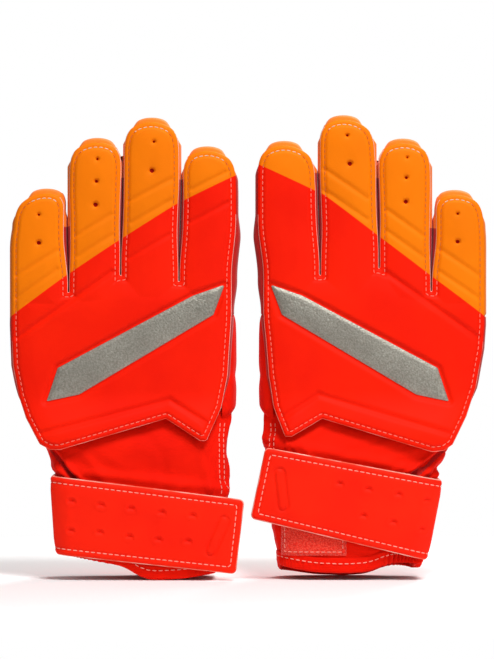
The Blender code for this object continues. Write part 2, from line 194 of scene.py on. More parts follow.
def wave(u, z, seed, scale):
    """Smooth pseudo-random height from a few crossed sines, about -1 to 1."""
    draw = random.Random(seed)
    total = np.zeros_like(np.asarray(u, float))
    for _ in range(5):
        angle = draw.uniform(0.0, math.pi)
        reach = scale * draw.uniform(0.6, 1.7)
        phase = draw.uniform(0.0, 6.3)
        total += np.sin((u * math.cos(angle) + z * math.sin(angle)) * 2.0 * math.pi / reach + phase)
    return total / 5.0


def line_distance(u, z, a, b):
    """Distance from points to the segment a-b."""
    du, dz = b[0] - a[0], b[1] - a[1]
    t = np.clip(((u - a[0]) * du + (z - a[1]) * dz) / (du * du + dz * dz), 0.0, 1.0)
    return np.hypot(u - a[0] - t * du, z - a[1] - t * dz)


def path_distance(u, z, path):
    """Distance from points to a polyline."""
    best = np.full(np.shape(u), 1e9)
    for a, b in zip(path[:-1], path[1:]):
        best = np.minimum(best, line_distance(u, z, a, b))
    return best


def polygon_distance(u, z, corners):
    """Signed distance to a polygon, negative inside."""
    best = np.full(np.shape(u), 1e9)
    inside = np.zeros(np.shape(u), bool)
    for a, b in zip(corners, corners[1:] + corners[:1]):
        best = np.minimum(best, line_distance(u, z, a, b))
        crosses = (a[1] > z) != (b[1] > z)
        slope = (b[0] - a[0]) / (b[1] - a[1]) if b[1] != a[1] else 0.0
        inside ^= crosses & (u < a[0] + (z - a[1]) * slope)
    return np.where(inside, -best, best)


def ramp(x, table):
    """A height read off a short table of (place, height)."""
    return np.interp(x, [p[0] for p in table], [p[1] for p in table])


# ------------------------------------------------------------------ outlines


# How each slit opens upwards: half its width, its lean across, and the stretches both grow over.
SLIT_OPENING = ((1.5, -1.0, 4.0, 36.0), (0.65, 1.2, 10.0, 70.0), (1.2, 1.3, 4.0, 60.0))


def slit_centre(side, number, z):
    """Middle across of one of the slits between the fingers, at heights z."""
    across, foot = SHAPES[side]["slits"][number]
    _, lean, _, reach = SLIT_OPENING[number]
    return across + lean * smooth(z, foot + 4.0, foot + reach)


def slit_half(side, number, z):
    """Half the width of a slit at heights z."""
    foot = SHAPES[side]["slits"][number][1]
    widest, _, start, _ = SLIT_OPENING[number]
    opened = smooth(z, foot + start, foot + 32.0)
    return 0.5 + widest * opened * (1.0 - 0.3 * smooth(z, foot + 40.0, foot + 60.0))


def finger_edges(side, index, z):
    """Both edges across of a finger, at heights z."""
    sides = SHAPES[side]["sides"]
    if index == 0:
        low = sides[0] + 0.9 * smooth(z, 195.0, 225.0)
    else:
        low = slit_centre(side, index - 1, z) + slit_half(side, index - 1, z)
    if index == 3:
        high = sides[1] - (2.6 if side == "left" else 3.3) * falling(z, 178.0, 212.0)
    else:
        high = slit_centre(side, index, z) - slit_half(side, index, z)
    return low, high


def in_finger(side, index, u, z):
    """Whether points lie between the middles of a finger's two slits."""
    mine = np.ones(np.shape(u), bool)
    if index > 0:
        mine &= u > slit_centre(side, index - 1, z)
    if index < 3:
        mine &= u <= slit_centre(side, index, z)
    return mine


def outline(side, u, z, grow=0.0, tip_grow=0.0):
    """Signed distance to the glove's cut outline, negative inside."""
    shape = SHAPES[side]
    total = polygon_distance(u, z, shape["hand"])
    for index, (tip, middle) in enumerate(zip(shape["tips"], shape["tip_middles"])):
        low, high = finger_edges(side, index, z)
        strip = np.maximum(low - u, u - high)
        centre = tip + tip_grow - CAP_RADIUS
        round_tip = np.hypot(u - middle, np.maximum(z - centre, 0.0)) - CAP_RADIUS
        cap = round_tip - 0.4 * np.maximum(centre - z, 0.0)
        finger = np.maximum(soft_max(strip - 0.3, cap, CAP_ROUND), 155.0 - z)
        total = np.minimum(total, finger)
    return total - grow


def gradient(field, u, z):
    """Unit gradient of a signed distance."""
    h = 0.08
    gu = (field(u + h, z) - field(u - h, z)) / (2 * h)
    gz = (field(u, z + h) - field(u, z - h)) / (2 * h)
    size = np.maximum(np.hypot(gu, gz), 1e-6)
    return gu / size, gz / size


# ------------------------------------------------------------------ mesh building


class Part:
    """Vertices, faces, material name, border heights and smooth normals of one stretch of surface."""

    def __init__(self, points, faces, slot, border=None):
        self.points = np.asarray(points, float)
        self.faces = [tuple(f) for f in faces]
        self.slot = slot
        self.normals = surface_normals(self.points, self.faces)
        self.border = np.zeros(len(self.points)) if border is None else border

    def keep(self, chosen, slot=None):
        """The same surface with only the chosen faces, in another material if one is named."""
        faces = [f for f, c in zip(self.faces, chosen) if c]
        used = sorted({i for f in faces for i in f})
        new = {old: i for i, old in enumerate(used)}
        part = Part.__new__(Part)
        part.points = self.points[used]
        part.faces = [tuple(new[i] for i in f) for f in faces]
        part.slot = slot or self.slot
        part.normals = self.normals[used]
        part.border = self.border[used]
        return part

    def centres(self):
        """Middle of each face."""
        return np.array([self.points[list(f)].mean(axis=0) for f in self.faces]).reshape(-1, 3)


def surface_normals(points, faces):
    """Area-weighted vertex normals."""
    normals = np.zeros_like(points)
    for size in sorted({len(f) for f in faces}):
        index = np.array([f for f in faces if len(f) == size])
        a, b, c = (points[index[:, k]] for k in range(3))
        n = np.cross(c - a, points[index[:, 3]] - b) if size == 4 else np.cross(b - a, c - a)
        for column in range(size):
            np.add.at(normals, index[:, column], n)
    lengths = np.linalg.norm(normals, axis=1)
    empty = lengths < 1e-12
    normals[empty] = (0.0, -1.0, 0.0)
    lengths[empty] = 1.0
    return normals / lengths[:, None]


def snap(field, u, z, index, rounds):
    """Move the numbered points onto the field's outline."""
    for _ in range(rounds):
        gu, gz = gradient(field, u[index], z[index])
        d = field(u[index], z[index])
        u[index] -= gu * d
        z[index] -= gz * d


def cut_sheet(field, low, high, step):
    """A grid trimmed to where the field is negative, its rim drawn onto the outline and evened out.

    Returns u, z, quads and the rim's loops of vertex numbers, in order.
    """
    us = np.arange(low[0], high[0] + step, step)
    zs = np.arange(low[1], high[1] + step, step)
    grid_u, grid_z = np.meshgrid(us, zs, indexing="ij")
    inside = field(grid_u, grid_z) <= 0.5 * step
    cells = inside[:-1, :-1] & inside[1:, :-1] & inside[1:, 1:] & inside[:-1, 1:]
    rows, columns = np.nonzero(cells)
    count = len(zs)
    corner = rows * count + columns
    quads = np.stack([corner, corner + count, corner + count + 1, corner + 1], axis=1)
    used, quads = np.unique(quads, return_inverse=True)
    quads = quads.reshape(-1, 4).tolist()
    u = grid_u.ravel()[used].copy()
    z = grid_z.ravel()[used].copy()
    edges = {edge for quad in quads for edge in zip(quad, quad[1:] + quad[:1])}
    following = {}
    for a, b in edges:
        if (b, a) not in edges:
            following.setdefault(a, []).append(b)
    snap(field, u, z, np.array(sorted(following)), 3)
    loops = []
    while following:
        start = at = next(iter(following))
        loop = [start]
        while following.get(at):
            to = following[at].pop()
            if not following[at]:
                del following[at]
            if to == start:
                break
            loop.append(to)
            at = to
        if len(loop) > 12:
            loops.append(np.array(loop))
    for loop in loops:
        for _ in range(4):
            before, after = np.roll(loop, 1), np.roll(loop, -1)
            u[loop] = 0.5 * u[loop] + 0.25 * (u[before] + u[after])
            z[loop] = 0.5 * z[loop] + 0.25 * (z[before] + z[after])
        snap(field, u, z, loop, 2)
    return u, z, quads, loops


def level_paths(field, level, low, high):
    """Closed paths along a field's level line, each as its two coordinates."""
    u, z, _, loops = cut_sheet(lambda a, b: field(a, b) + level, low, high, 1.2)
    return [(np.append(u[loop], u[loop[0]]), np.append(z[loop], z[loop[0]])) for loop in loops]


def loft_faces(rows, columns, wrap=False, flip=False):
    """Quads of a lattice whose points are stored row by row."""
    faces = []
    for i in range(rows - 1):
        for j in range(columns if wrap else columns - 1):
            a = i * columns + j
            b = i * columns + (j + 1) % columns
            face = (a, b, b + columns, a + columns)
            faces.append((face[0], face[3], face[2], face[1]) if flip else face)
    return faces


def xyz(u, y, z):
    """Points from their coordinates, any of which may be one number for all."""
    return np.stack(np.broadcast_arrays(u, y, z), axis=-1).reshape(-1, 3).astype(float)


def band(rings, slot, flip=False, border=None):
    """A closed strip through rings of equally many points."""
    faces = loft_faces(len(rings), len(rings[0]), wrap=True, flip=flip)
    return Part(np.concatenate(rings), faces, slot, border)


def rim_band(field, u, y, z, loop, steps, slot, flip=False, border=None):
    """A strip from a sheet's rim through steps of (outward, deeper)."""
    gu, gz = gradient(field, u[loop], z[loop])
    rings = [xyz(u[loop] + gu * out, y[loop] + deeper, z[loop] + gz * out) for out, deeper in steps]
    return band(rings, slot, flip, None if border is None else np.tile(border[loop], len(steps)))


def path_lengths(points):
    """Length along a path at each of its points."""
    return np.concatenate([[0.0], np.cumsum(np.linalg.norm(np.diff(points, axis=0), axis=1))])


def make_object(name, side, parts):
    """One object from several parts, in the frame's metres, with their smooth normals."""
    parts = [p for p in parts if p.faces]
    names = sorted({p.slot for p in parts})
    faces = []
    slots = []
    offset = 0
    for part in parts:
        for f in part.faces:
            moved = tuple(i + offset for i in f)
            faces.append(moved if side == "left" else moved[::-1])
        slots += [names.index(part.slot)] * len(part.faces)
        offset += len(part.points)
    mesh = bpy.data.meshes.new(name)
    mesh.from_pydata(place(side, np.concatenate([p.points for p in parts])).tolist(), [], faces)
    mesh.polygons.foreach_set("material_index", np.array(slots, dtype=np.int32))
    mesh.polygons.foreach_set("use_smooth", np.ones(len(faces), bool))
    for slot in names:
        mesh.materials.append(MATERIALS[slot])
    border = np.concatenate([p.border for p in parts]).astype(np.float32)
    mesh.attributes.new("border", "FLOAT", "POINT").data.foreach_set("value", border)
    mesh.update()
    turned = np.concatenate([p.normals for p in parts])
    turned[:, 0] *= SIDES[side]
    mesh.normals_split_custom_set_from_vertices(turned.tolist())
    item = bpy.data.objects.new(name, mesh)
    bpy.context.collection.objects.link(item)
    return item


def add_piece(side, name, parts, replaced=(), bodies=("hand",), span=None):
    """One visual piece of a glove from its parts: it hides the nodes it replaces and rides on the first
    of its bodies, or, when a span of two points is given, it is only fixed in place on no body."""
    item = make_object(f"{side}_{name}", side, parts)
    if span is None:
        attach(item, f"{side}_{bodies[0]}")
    else:
        start, end = place(side, span)
        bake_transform(item)
    if replaced:
        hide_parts(*(f"{side}_{node}" for node in replaced))
    return item


# ------------------------------------------------------------------ materials


def colour(hex_code):
    """A linear colour from sRGB hex."""
    out = []
    for i in (0, 2, 4):
        c = int(hex_code[i : i + 2], 16) / 255.0
        out.append(c / 12.92 if c <= 0.04045 else ((c + 0.055) / 1.055) ** 2.4)
    return (*out, 1.0)


class Nodes:
    """Short names for building a material's node tree."""

    def __init__(self, name):
        self.material = bpy.data.materials.new(name)
        self.material.use_nodes = True
        self.tree = self.material.node_tree
        self.shader = self.tree.nodes["Principled BSDF"]
        self.coord = self.add("ShaderNodeTexCoord").outputs["Object"]

    def feed(self, socket, value):
        """Set a socket to a number or a hex colour, or link it to another node's output."""
        if isinstance(value, str):
            value = colour(value)
        if isinstance(value, (int, float, tuple)):
            socket.default_value = value
        else:
            self.tree.links.new(value, socket)

    def add(self, kind, inputs=None, **settings):
        """A node with its settings and what goes into each of its sockets."""
        node = self.tree.nodes.new(kind)
        for key, value in settings.items():
            setattr(node, key, value)
        for key, value in (inputs or {}).items():
            self.feed(node.inputs[key], value)
        return node

    def noise(self, scale, detail=3.0, rough=0.5, stretch=(1.0, 1.0, 1.0)):
        """Cloudy noise from 0 to 1."""
        mapping = self.add("ShaderNodeMapping", {"Scale": stretch, "Vector": self.coord})
        values = {"Scale": scale, "Detail": detail, "Roughness": rough, "Vector": mapping.outputs["Vector"]}
        return self.add("ShaderNodeTexNoise", values).outputs["Fac"]

    def cells(self, scale, feature="F1"):
        """Distance from the middles, or edges, of scattered cells."""
        values = {"Scale": scale, "Vector": self.coord}
        return self.add("ShaderNodeTexVoronoi", values, feature=feature).outputs["Distance"]

    def maths(self, kind, *values):
        """One sum on numbers or outputs."""
        return self.add("ShaderNodeMath", dict(enumerate(values)), operation=kind).outputs[0]

    def mix(self, share, a, b):
        """A colour from a to b by share."""
        return self.add("ShaderNodeMix", {0: share, 6: a, 7: b}, data_type="RGBA").outputs[2]

    def ramp(self, value, low, high):
        """0 at low to 1 at high."""
        values = {"From Min": low, "From Max": high, "Value": value}
        return self.add("ShaderNodeMapRange", values).outputs["Result"]

    def above(self, fade):
        """1 above the border between the two colours and 0 below it."""
        border = self.add("ShaderNodeAttribute", attribute_name="border").outputs["Fac"]
        return self.ramp(border, -fade, fade)

    def finish(self, base, rough, *bumps, sheen=0.0, metallic=0.0, specular=0.5):
        """Colour, roughness and gloss, and any bumps as (height, strength, distance)."""
        values = {
            "Base Color": base, "Roughness": rough, "Metallic": metallic, "Specular IOR Level": specular,
            "Sheen Weight": sheen, "Sheen Roughness": 0.5,
        }
        for height, strength, distance in bumps:
            inputs = {"Height": height, "Strength": strength, "Distance": distance}
            if "Normal" in values:
                inputs["Normal"] = values["Normal"]
            values["Normal"] = self.add("ShaderNodeBump", inputs).outputs["Normal"]
        for name, value in values.items():
            self.feed(self.shader.inputs[name], value)
        return self.material


def latex_back():
    """Coated latex foam of the back: orange above the border and red below it, with a fine grain."""
    n = Nodes("latex_back")
    cloud = n.ramp(n.noise(26.0), 0.3, 0.7)
    base = n.mix(n.above(0.12), n.mix(cloud, "FB1E00", "F21700"), n.mix(cloud, "FA7E02", "F27802"))
    grain = n.noise(2600.0, 2.0, 0.6)
    rough = n.maths("MULTIPLY_ADD", grain, 0.16, 0.50)
    return n.finish(base, rough, (grain, 0.22, 0.0004), (n.cells(1500.0), 0.10, 0.0003), specular=0.08)


def latex_strap():
    """The strap's red coated foam."""
    n = Nodes("latex_strap")
    base = n.mix(n.ramp(n.noise(30.0), 0.3, 0.7), "FB2408", "F21C06")
    grain = n.noise(2600.0, 2.0, 0.6)
    rough = n.maths("MULTIPLY_ADD", grain, 0.16, 0.48)
    return n.finish(base, rough, (grain, 0.22, 0.0004), specular=0.08)


def gusset_cloth():
    """The stretch gusset between the sheets: orange above the border and dark red below, which the slits'
    insides are moved into as painted shade.
    """
    n = Nodes("gusset_cloth")
    ribs = n.noise(900.0, 2.0, 0.5, (1.0, 1.0, 0.35))
    base = n.mix(n.above(0.4), n.mix(ribs, "CC1408", "A00A06"), n.mix(ribs, "FB8008", "E86E04"))
    return n.finish(base, 0.72, (ribs, 0.35, 0.0004), sheen=0.15, specular=0.2)


def palm_latex():
    """Soft cream latex of the palm, with open pores and faint mottling."""
    n = Nodes("palm_latex")
    speck = n.noise(420.0, 3.0, 0.65)
    base = n.mix(n.ramp(n.noise(40.0, 4.0), 0.3, 0.72), "EFE7D6", "E4D8C2")
    base = n.mix(n.maths("MULTIPLY", n.ramp(speck, 0.52, 0.7), 0.25), base, "CDBFA4")
    pores = n.cells(1100.0)
    return n.finish(base, 0.86, (pores, 0.35, 0.0004), (speck, 0.15, 0.0004), sheen=0.1, specular=0.2)


def knit_fabric():
    """Smooth stretch fabric of the wrist, with a fine knit."""
    n = Nodes("knit_fabric")
    base = n.mix(n.ramp(n.noise(34.0), 0.3, 0.7), "F41A02", "E61301")
    values = {"Scale": 300.0, "Distortion": 1.5, "Detail": 1.0, "Vector": n.coord}
    knit = n.add("ShaderNodeTexWave", values, wave_type="BANDS", bands_direction="Z").outputs["Fac"]
    threads = n.noise(1500.0, 2.0)
    return n.finish(base, 0.75, (knit, 0.08, 0.0003), (threads, 0.12, 0.0003), sheen=0.03, specular=0.06)


def silver_print():
    """Silver film over grained foam."""
    n = Nodes("silver_print")
    grain = n.noise(900.0, 3.0, 0.65)
    cloud = n.maths("MULTIPLY", n.ramp(n.noise(60.0), 0.35, 0.7), 0.35)
    base = n.mix(cloud, n.mix(n.ramp(grain, 0.35, 0.65), "8B877B", "ACA99E"), "78746A")
    creases = n.ramp(n.cells(520.0, "DISTANCE_TO_EDGE"), 0.0, 0.25)
    rough = n.maths("MULTIPLY_ADD", grain, 0.2, 0.34)
    return n.finish(base, rough, (grain, 0.5, 0.0005), (creases, 0.22, 0.0003), metallic=0.55)


def foam_edge():
    """Cut edge of the foam, pale pink with open cells."""
    n = Nodes("foam_edge")
    base = n.mix(n.ramp(n.noise(70.0, 2.0), 0.38, 0.62), "EE5A42", "F2B4A4")
    return n.finish(base, 0.9, (n.cells(1500.0), 0.4, 0.0003), specular=0.15)


def stitch_back():
    """Thread on the back: pale pink on the red, tone on tone on the orange."""
    n = Nodes("stitch_back")
    twist = n.noise(1800.0, 2.0)
    base = n.mix(n.above(0.5), n.mix(twist, "FF8C78", "F4705C"), n.mix(twist, "D8660C", "C65A08"))
    return n.finish(base, 0.6, sheen=0.2, specular=0.3)


def loop_weave():
    """Woven loop tape: rows of small loops, paler in each cell's middle as a painted highlight on the loops
    and darker between them as painted shade.
    """
    n = Nodes("loop_weave")
    cells = n.cells(1150.0)
    base = n.mix(n.ramp(cells, 0.2, 0.7), "FF4E38", "EC2410")
    fuzz = n.noise(2200.0)
    return n.finish(base, 0.9, (cells, 0.9, 0.0008), (fuzz, 0.4, 0.0004), sheen=0.4, specular=0.1)


def mottled(name, pattern, colours, rough, bump=None, sheen=0.0, specular=0.1):
    """A material that shades between two colours by one pattern, which may raise it as well."""
    n = Nodes(name)
    kind, *values = pattern
    share = getattr(n, kind)(*values)
    bumps = [(share, *bump)] if bump else []
    return n.finish(n.mix(share, *colours), rough, *bumps, sheen=sheen, specular=specular)


def thread(name, colours):
    """Twisted sewing thread."""
    return mottled(name, ("noise", 1800.0, 2.0), colours, 0.6, (0.3, 0.0002), 0.2, 0.3)


MATERIALS = {
    "latex": latex_back(),
    "strap": latex_strap(),
    "gusset": gusset_cloth(),
    "palm": palm_latex(),
    "fabric": knit_fabric(),
    "silver": silver_print(),
    "foam": foam_edge(),
    # A paler copy of the cut foam for the slits' edges: the foam's own colour, lightened as painted light.
    "foam_pale": mottled("foam_pale", ("cells", 1500.0), ("F6D2C8", "E8AFA2"), 0.9),
    "stitch": stitch_back(),
    "thread_pink": thread("thread_pink", ("FFAC9C", "F48C78")),
    "thread_cream": thread("thread_cream", ("EFE2CC", "D8C6A8")),
    "lining": mottled("brushed_lining", ("noise", 1400.0), ("D8281A", "B01A10"), 0.9, (0.4, 0.0004), 0.3),
    "weld": mottled("inlay_rim_dark", ("noise", 700.0, 2.0), ("7E3A30", "5E2A26"), 0.5, specular=0.3),
    "loop": loop_weave(),
    "hook": mottled("hook_tape", ("cells", 900.0), ("A81408", "7A0C06"), 0.6, (0.8, 0.0006), specular=0.35),
    # Dark red for the vent holes' bottoms: painted shade.
    "hole": mottled("painted_hole_shade", ("noise", 900.0, 2.0), ("A01008", "860A06"), 0.9),
}

# ------------------------------------------------------------------ the back sheet

# Pressed channels in the back foam: their depth and width by kind, and their paths.
GROOVE_CUT = {"soft": (0.75, 1.5), "deep": (1.35, 1.7)}
GROOVES = {
    "left": {
        "soft": (
            ((-63.5, 165.8), (-40.0, 182.4)), ((-28.0, 190.0), (-8.0, 202.6)),
            ((4.0, 210.0), (27.0, 223.2)), ((2.5, 222.6), (27.0, 235.6)), ((2.2, 189.0), (26.0, 203.0)),
            ((-28.4, 202.4), (-8.0, 215.0)), ((-63.5, 179.2), (-40.0, 193.6)),
            ((39.4, 229.6), (59.4, 239.8)), ((38.2, 210.0), (60.6, 221.8)),
        ),
        "deep": (
            ((-63.0, 142.6), (-7.8, 181.0)),
            ((-49.0, 86.2), (26.4, 105.8), (49.6, 91.4)),
        ),
    },
    "right": {
        "soft": (
            ((-63.5, 165.8), (-41.0, 181.0)), ((-31.0, 190.0), (-10.0, 205.0)),
            ((2.0, 212.0), (27.0, 229.0)), ((2.0, 224.6), (27.0, 241.6)),
            ((-31.0, 202.4), (-10.0, 217.4)), ((-63.5, 179.2), (-41.0, 194.4)),
        ),
        "deep": (
            ((-64.0, 142.0), (-9.0, 181.0)),
            ((-45.4, 86.4), (30.7, 109.0), (51.2, 95.8)),
        ),
    },
}

# Vent holes: place across, height and radius.
HOLES = {
    "left": (
        (-50.8, 214.8, 0.9), (-50.8, 198.2, 1.5), (-16.3, 247.5, 0.9), (-16.9, 234.4, 1.2),
        (-17.4, 220.7, 1.6), (17.0, 257.8, 0.9), (15.8, 240.7, 1.6),
    ),
    "right": (
        (-51.4, 215.3, 0.8), (-51.4, 198.9, 1.4), (-21.8, 248.4, 0.7), (-21.2, 236.6, 1.1),
        (-20.9, 222.4, 1.5), (13.6, 261.4, 1.0), (12.1, 244.8, 1.6),
    ),
}

# The silver inlay: a straight bar with slanting ends, as corners in hand coordinates.
EMBLEM = ((-46.0, 105.0), (-39.5, 124.5), (40.0, 167.0), (58.5, 173.5), (52.0, 156.0), (-27.0, 109.0))

# The cut edge's thickness, and its section as steps of (outward, deeper) from the face's rim.
RIM_THICK = 1.7
BACK_RIM = ((0.0, 0.0), (0.3, 0.35 * RIM_THICK), (0.3, RIM_THICK), (-2.5, 1.5 * RIM_THICK))
HOLE_SIDES = 12
# From a difference in height to the distance square to the slanting colour border.
BORDER_SLANT = 0.82


def emblem_distance(u, z):
    """Signed distance to the silver inlay."""
    return polygon_distance(u, z, EMBLEM)


def border_height(side, u, z):
    """How far above the colour border each point lies, in mm."""
    return (z - ramp(u, SHAPES[side]["border"])) * BORDER_SLANT


def back_base(u, z):
    """Depth of the hand's back under the pad: flat over the hand, forward at the wrist."""
    crown = 1.6 * (1.0 - np.clip(np.abs(u + 1.0) / 66.0, 0.0, 1.0) ** 2.0)
    return SLEEVE_BACK + 0.6 - crown * falling(z, 150.0, 200.0) - 8.6 * falling(z, 76.0, 112.0)


def back_depth(side, u, z):
    """Depth of the back sheet's face: rounded at its edge, with grooves, the inlay's bed and holes."""
    edge = np.maximum(-outline(side, u, z), 0.0)
    thick = RIM_THICK + (PAD_THICK - RIM_THICK) * (1.0 - np.exp(-edge / 2.0))
    thick += 0.7 * smooth(edge, 3.0, 14.0)
    thick -= 0.85 * bell(edge - STITCH_IN, 0.75)
    thick += 0.22 * wave(u, z, 11, 30.0) * smooth(edge, 2.0, 8.0)
    for kind, (deep, wide) in GROOVE_CUT.items():
        for path in GROOVES[side][kind]:
            thick -= deep * bell(path_distance(u, z, path), wide)
    d = emblem_distance(u, z)
    thick -= 1.5 * bell(d - 0.9, 1.5) + 0.5 * smooth(-d, 0.0, 1.0)
    for across, up, radius in HOLES[side]:
        d = np.hypot(u - across, z - up)
        thick -= 1.9 * (1.0 - smooth(d, radius * 0.55, radius * 1.25)) + 0.45 * bell(d, radius * 2.2)
    return back_base(u, z) - thick


def back_sheet(side):
    """The back sheet of the whole hand: its face, cut edges and vent holes."""
    field = partial(outline, side, grow=-0.45)
    u, z, quads, loops = cut_sheet(field, *HAND_BOX, 0.65)
    y = back_depth(side, u, z)
    border = border_height(side, u, z)
    parts = [Part(xyz(u, y, z), quads, "latex", border)]
    for loop in loops:
        rim = rim_band(field, u, y, z, loop, BACK_RIM, "foam", True, border)
        across, _, up = rim.centres().T
        # Cut edges in the slits take the paler foam: painted light where little light reaches them.
        slit = (across > 58.0) & (up > 100.0) & (up < 215.0)
        for number, (_, foot) in enumerate(SHAPES[side]["slits"]):
            slit |= (np.abs(across - slit_centre(side, number, up)) < 4.0) & (up > foot - 3.0)
        own = ~slit & (up > 140.0)
        parts += [rim.keep(own, "latex"), rim.keep(slit, "foam_pale"), rim.keep(~slit & ~own, "foam")]
    # Each vent hole gets a dark red disc near its bottom: painted shade for the hole's depth.
    turns = np.arange(HOLE_SIDES) * math.pi * 2.0 / HOLE_SIDES
    fan = [(HOLE_SIDES, k, (k + 1) % HOLE_SIDES) for k in range(HOLE_SIDES)]
    for across, up, radius in HOLES[side]:
        depth = float(back_depth(side, np.array([across]), np.array([up]))[0]) - 0.75
        ring = xyz(across + radius * 0.8 * np.cos(turns), depth, up + radius * 0.8 * np.sin(turns))
        parts.append(Part(np.concatenate([ring, xyz(across, depth + 0.25, up)]), fan, "hole"))
    return parts


# ------------------------------------------------------------------ stitches

# A stitch along its length as (share, width, height), and its section as (across, up).
STITCH_PROFILE = (
    (0.0, 0.35, 0.45), (0.12, 0.85, 0.85), (0.5, 1.0, 1.0), (0.88, 0.85, 0.85), (1.0, 0.35, 0.45),
)
STITCH_SECTION = np.array(((-1.0, 0.0), (-0.6, 0.8), (0.6, 0.8), (1.0, 0.0), (0.6, -0.5), (-0.6, -0.5)))
STITCH_LONG = len(STITCH_PROFILE)
STITCH_ROUND = len(STITCH_SECTION)
STITCH_POINTS = STITCH_LONG * STITCH_ROUND
STITCH_FACES = [
    *loft_faces(STITCH_LONG, STITCH_ROUND, wrap=True), tuple(range(STITCH_ROUND))[::-1],
    tuple(range(STITCH_POINTS - STITCH_ROUND, STITCH_POINTS)),
]
# Out of the back of the hand, and out of the thumb's back.
BACKWARD = (0.0, -1.0, 0.0)
FORWARD = (0.0, 1.0, 0.0)


def unit(vectors):
    """Vectors at length one."""
    return vectors / np.maximum(np.linalg.norm(vectors, axis=1), 1e-9)[:, None]


def stitch_run(points, normals, length, gap, width, slot, border=None, height=0.35):
    """Raised stitches spread evenly along a path: each a short rounded bar lying on the surface."""
    normals = np.broadcast_to(normals, points.shape)
    border = np.zeros(len(points)) if border is None else border
    along = path_lengths(points)
    total = along[-1]
    count = max(1, round(total / (length + gap)))
    pitch = total / count
    share, wide, tall = np.tile(STITCH_PROFILE, (count, 1)).T
    at = np.repeat(np.arange(count) * pitch + (pitch - length) * 0.5, STITCH_LONG) + length * share

    def read(values, places):
        """The path's values at lengths along it."""
        return np.stack([np.interp(places, along, column) for column in values.T], axis=1)

    n = unit(read(normals, at))
    t = unit(read(points, np.minimum(at + 0.4, total)) - read(points, np.maximum(at - 0.4, 0.0)))
    s = unit(np.cross(t, n))
    flat = np.outer(wide, STITCH_SECTION[:, 0] * width * 0.5)[..., None]
    rise = np.outer(tall, STITCH_SECTION[:, 1] * height)[..., None]
    corners = (read(points, at)[:, None] + s[:, None] * flat + n[:, None] * rise).reshape(-1, 3)
    faces = [tuple(i + STITCH_POINTS * k for i in f) for k in range(count) for f in STITCH_FACES]
    part = Part(corners, faces, slot, np.repeat(np.interp(at, along, border), STITCH_ROUND))
    middles = corners.reshape(-1, STITCH_ROUND, 3).mean(axis=1)
    outward = unit(corners - middles.repeat(STITCH_ROUND, axis=0))
    if np.sum(part.normals * outward) < 0.0:
        part.faces = [f[::-1] for f in part.faces]
    part.normals = outward
    return part


def sheet_stitches(side):
    """The seam just inside the back sheet's edge, in paler thread where it holds the fingertips' caps."""
    parts = []
    for u, z in level_paths(partial(outline, side), STITCH_IN, *HAND_BOX):
        points = xyz(u, back_depth(side, u, z) - 0.2, z)
        run = stitch_run(points, BACKWARD, 2.2, 1.1, 0.52, "stitch", border_height(side, u, z), 0.36)
        across, _, up = run.centres().T
        cap = np.zeros(len(up), bool)
        for tip, middle in zip(SHAPES[side]["tips"], SHAPES[side]["tip_middles"]):
            cap |= (np.abs(across - middle) < 9.5) & (up > tip - 6.0)
        parts += [run.keep(~cap), run.keep(cap, "thread_cream")]
    return parts


# ------------------------------------------------------------------ palm sheet and gussets

# The heel of the palm sheet runs straight across behind the back sheet's stepped edge:
# the across places it fills between and the height it fills up to.
HEEL_SPAN = (-38.0, 44.0, 112.0)
PALM_RIM = ((0.0, 0.0), (-0.4, -1.4), (-2.6, -1.6))
# The fingers' middles across, for the creases in the palm latex.
CREASE_MIDDLES = (-50.0, -17.5, 15.0, 48.0)
# The hand's two long creases, each with its width.
PALM_CREASES = (((-34.0, 150.0), (30.0, 164.0), 2.6), ((26.0, 160.0), (0.0, 96.0), 2.8))
# The gusset: its rows, how far it is tucked under the back sheet's face and the palm's, and how far
# below the colour border its inside counts as, so that it takes the dark red in the slits as painted shade.
GUSSET_ROWS = 13
GUSSET_TUCK = 2.2
GUSSET_LAP = 8.6
SLIT_SHADE = 60.0


def palm_outline(side, u, z):
    """Signed distance to the palm sheet: the glove's outline, cut off at the heel of the hand."""
    low, high, top = HEEL_SPAN
    heel = np.maximum(np.maximum(low - u, u - high), z - top)
    whole = np.minimum(outline(side, u, z, grow=-0.2, tip_grow=0.8), heel)
    lower_edge = 82.0 + 30.0 * (np.abs(u) / 66.0) ** 3
    return soft_max(whole, (lower_edge - z) * 0.9, 4.0)


def palm_base(z):
    """Depth of the palm face, which deepens to the wrist."""
    return PALM_FACE + 1.2 * falling(z, 170.0, 196.0) + 6.4 * falling(z, 76.0, 112.0)


def palm_depth(side, u, z):
    """Depth of the palm sheet's face: rolled far round at the fingers' sides and creased at the hinges."""
    edge = np.maximum(-palm_outline(side, u, z), 0.0)
    face = palm_base(z) - 8.2 * np.exp(-edge / 3.4) - 0.7 * bell(edge - 2.6, 0.7)
    face += 0.35 * wave(u, z, 5, 34.0) * smooth(edge, 2.0, 9.0)
    for finger, middle in zip(FINGER_NAMES, CREASE_MIDDLES):
        span = 1.0 - smooth(np.abs(u - middle), 11.0, 16.0)
        for which in ("knuckle", "middle_joint"):
            face -= span * bell(z - hinge_up(side, finger, which), 1.7)
    for start, end, wide in PALM_CREASES:
        face -= 0.7 * bell(line_distance(u, z, start, end), wide)
    return face


def palm_sheet(side):
    """The palm latex of the whole hand, with its edge turned in."""
    field = partial(palm_outline, side)
    u, z, quads, loops = cut_sheet(field, (-70.0, 76.0), (70.0, 276.0), 1.3)
    y = palm_depth(side, u, z)
    rims = [rim_band(field, u, y, z, loop, PALM_RIM, "palm") for loop in loops]
    return [Part(xyz(u, y, z), [q[::-1] for q in quads], "palm"), *rims]


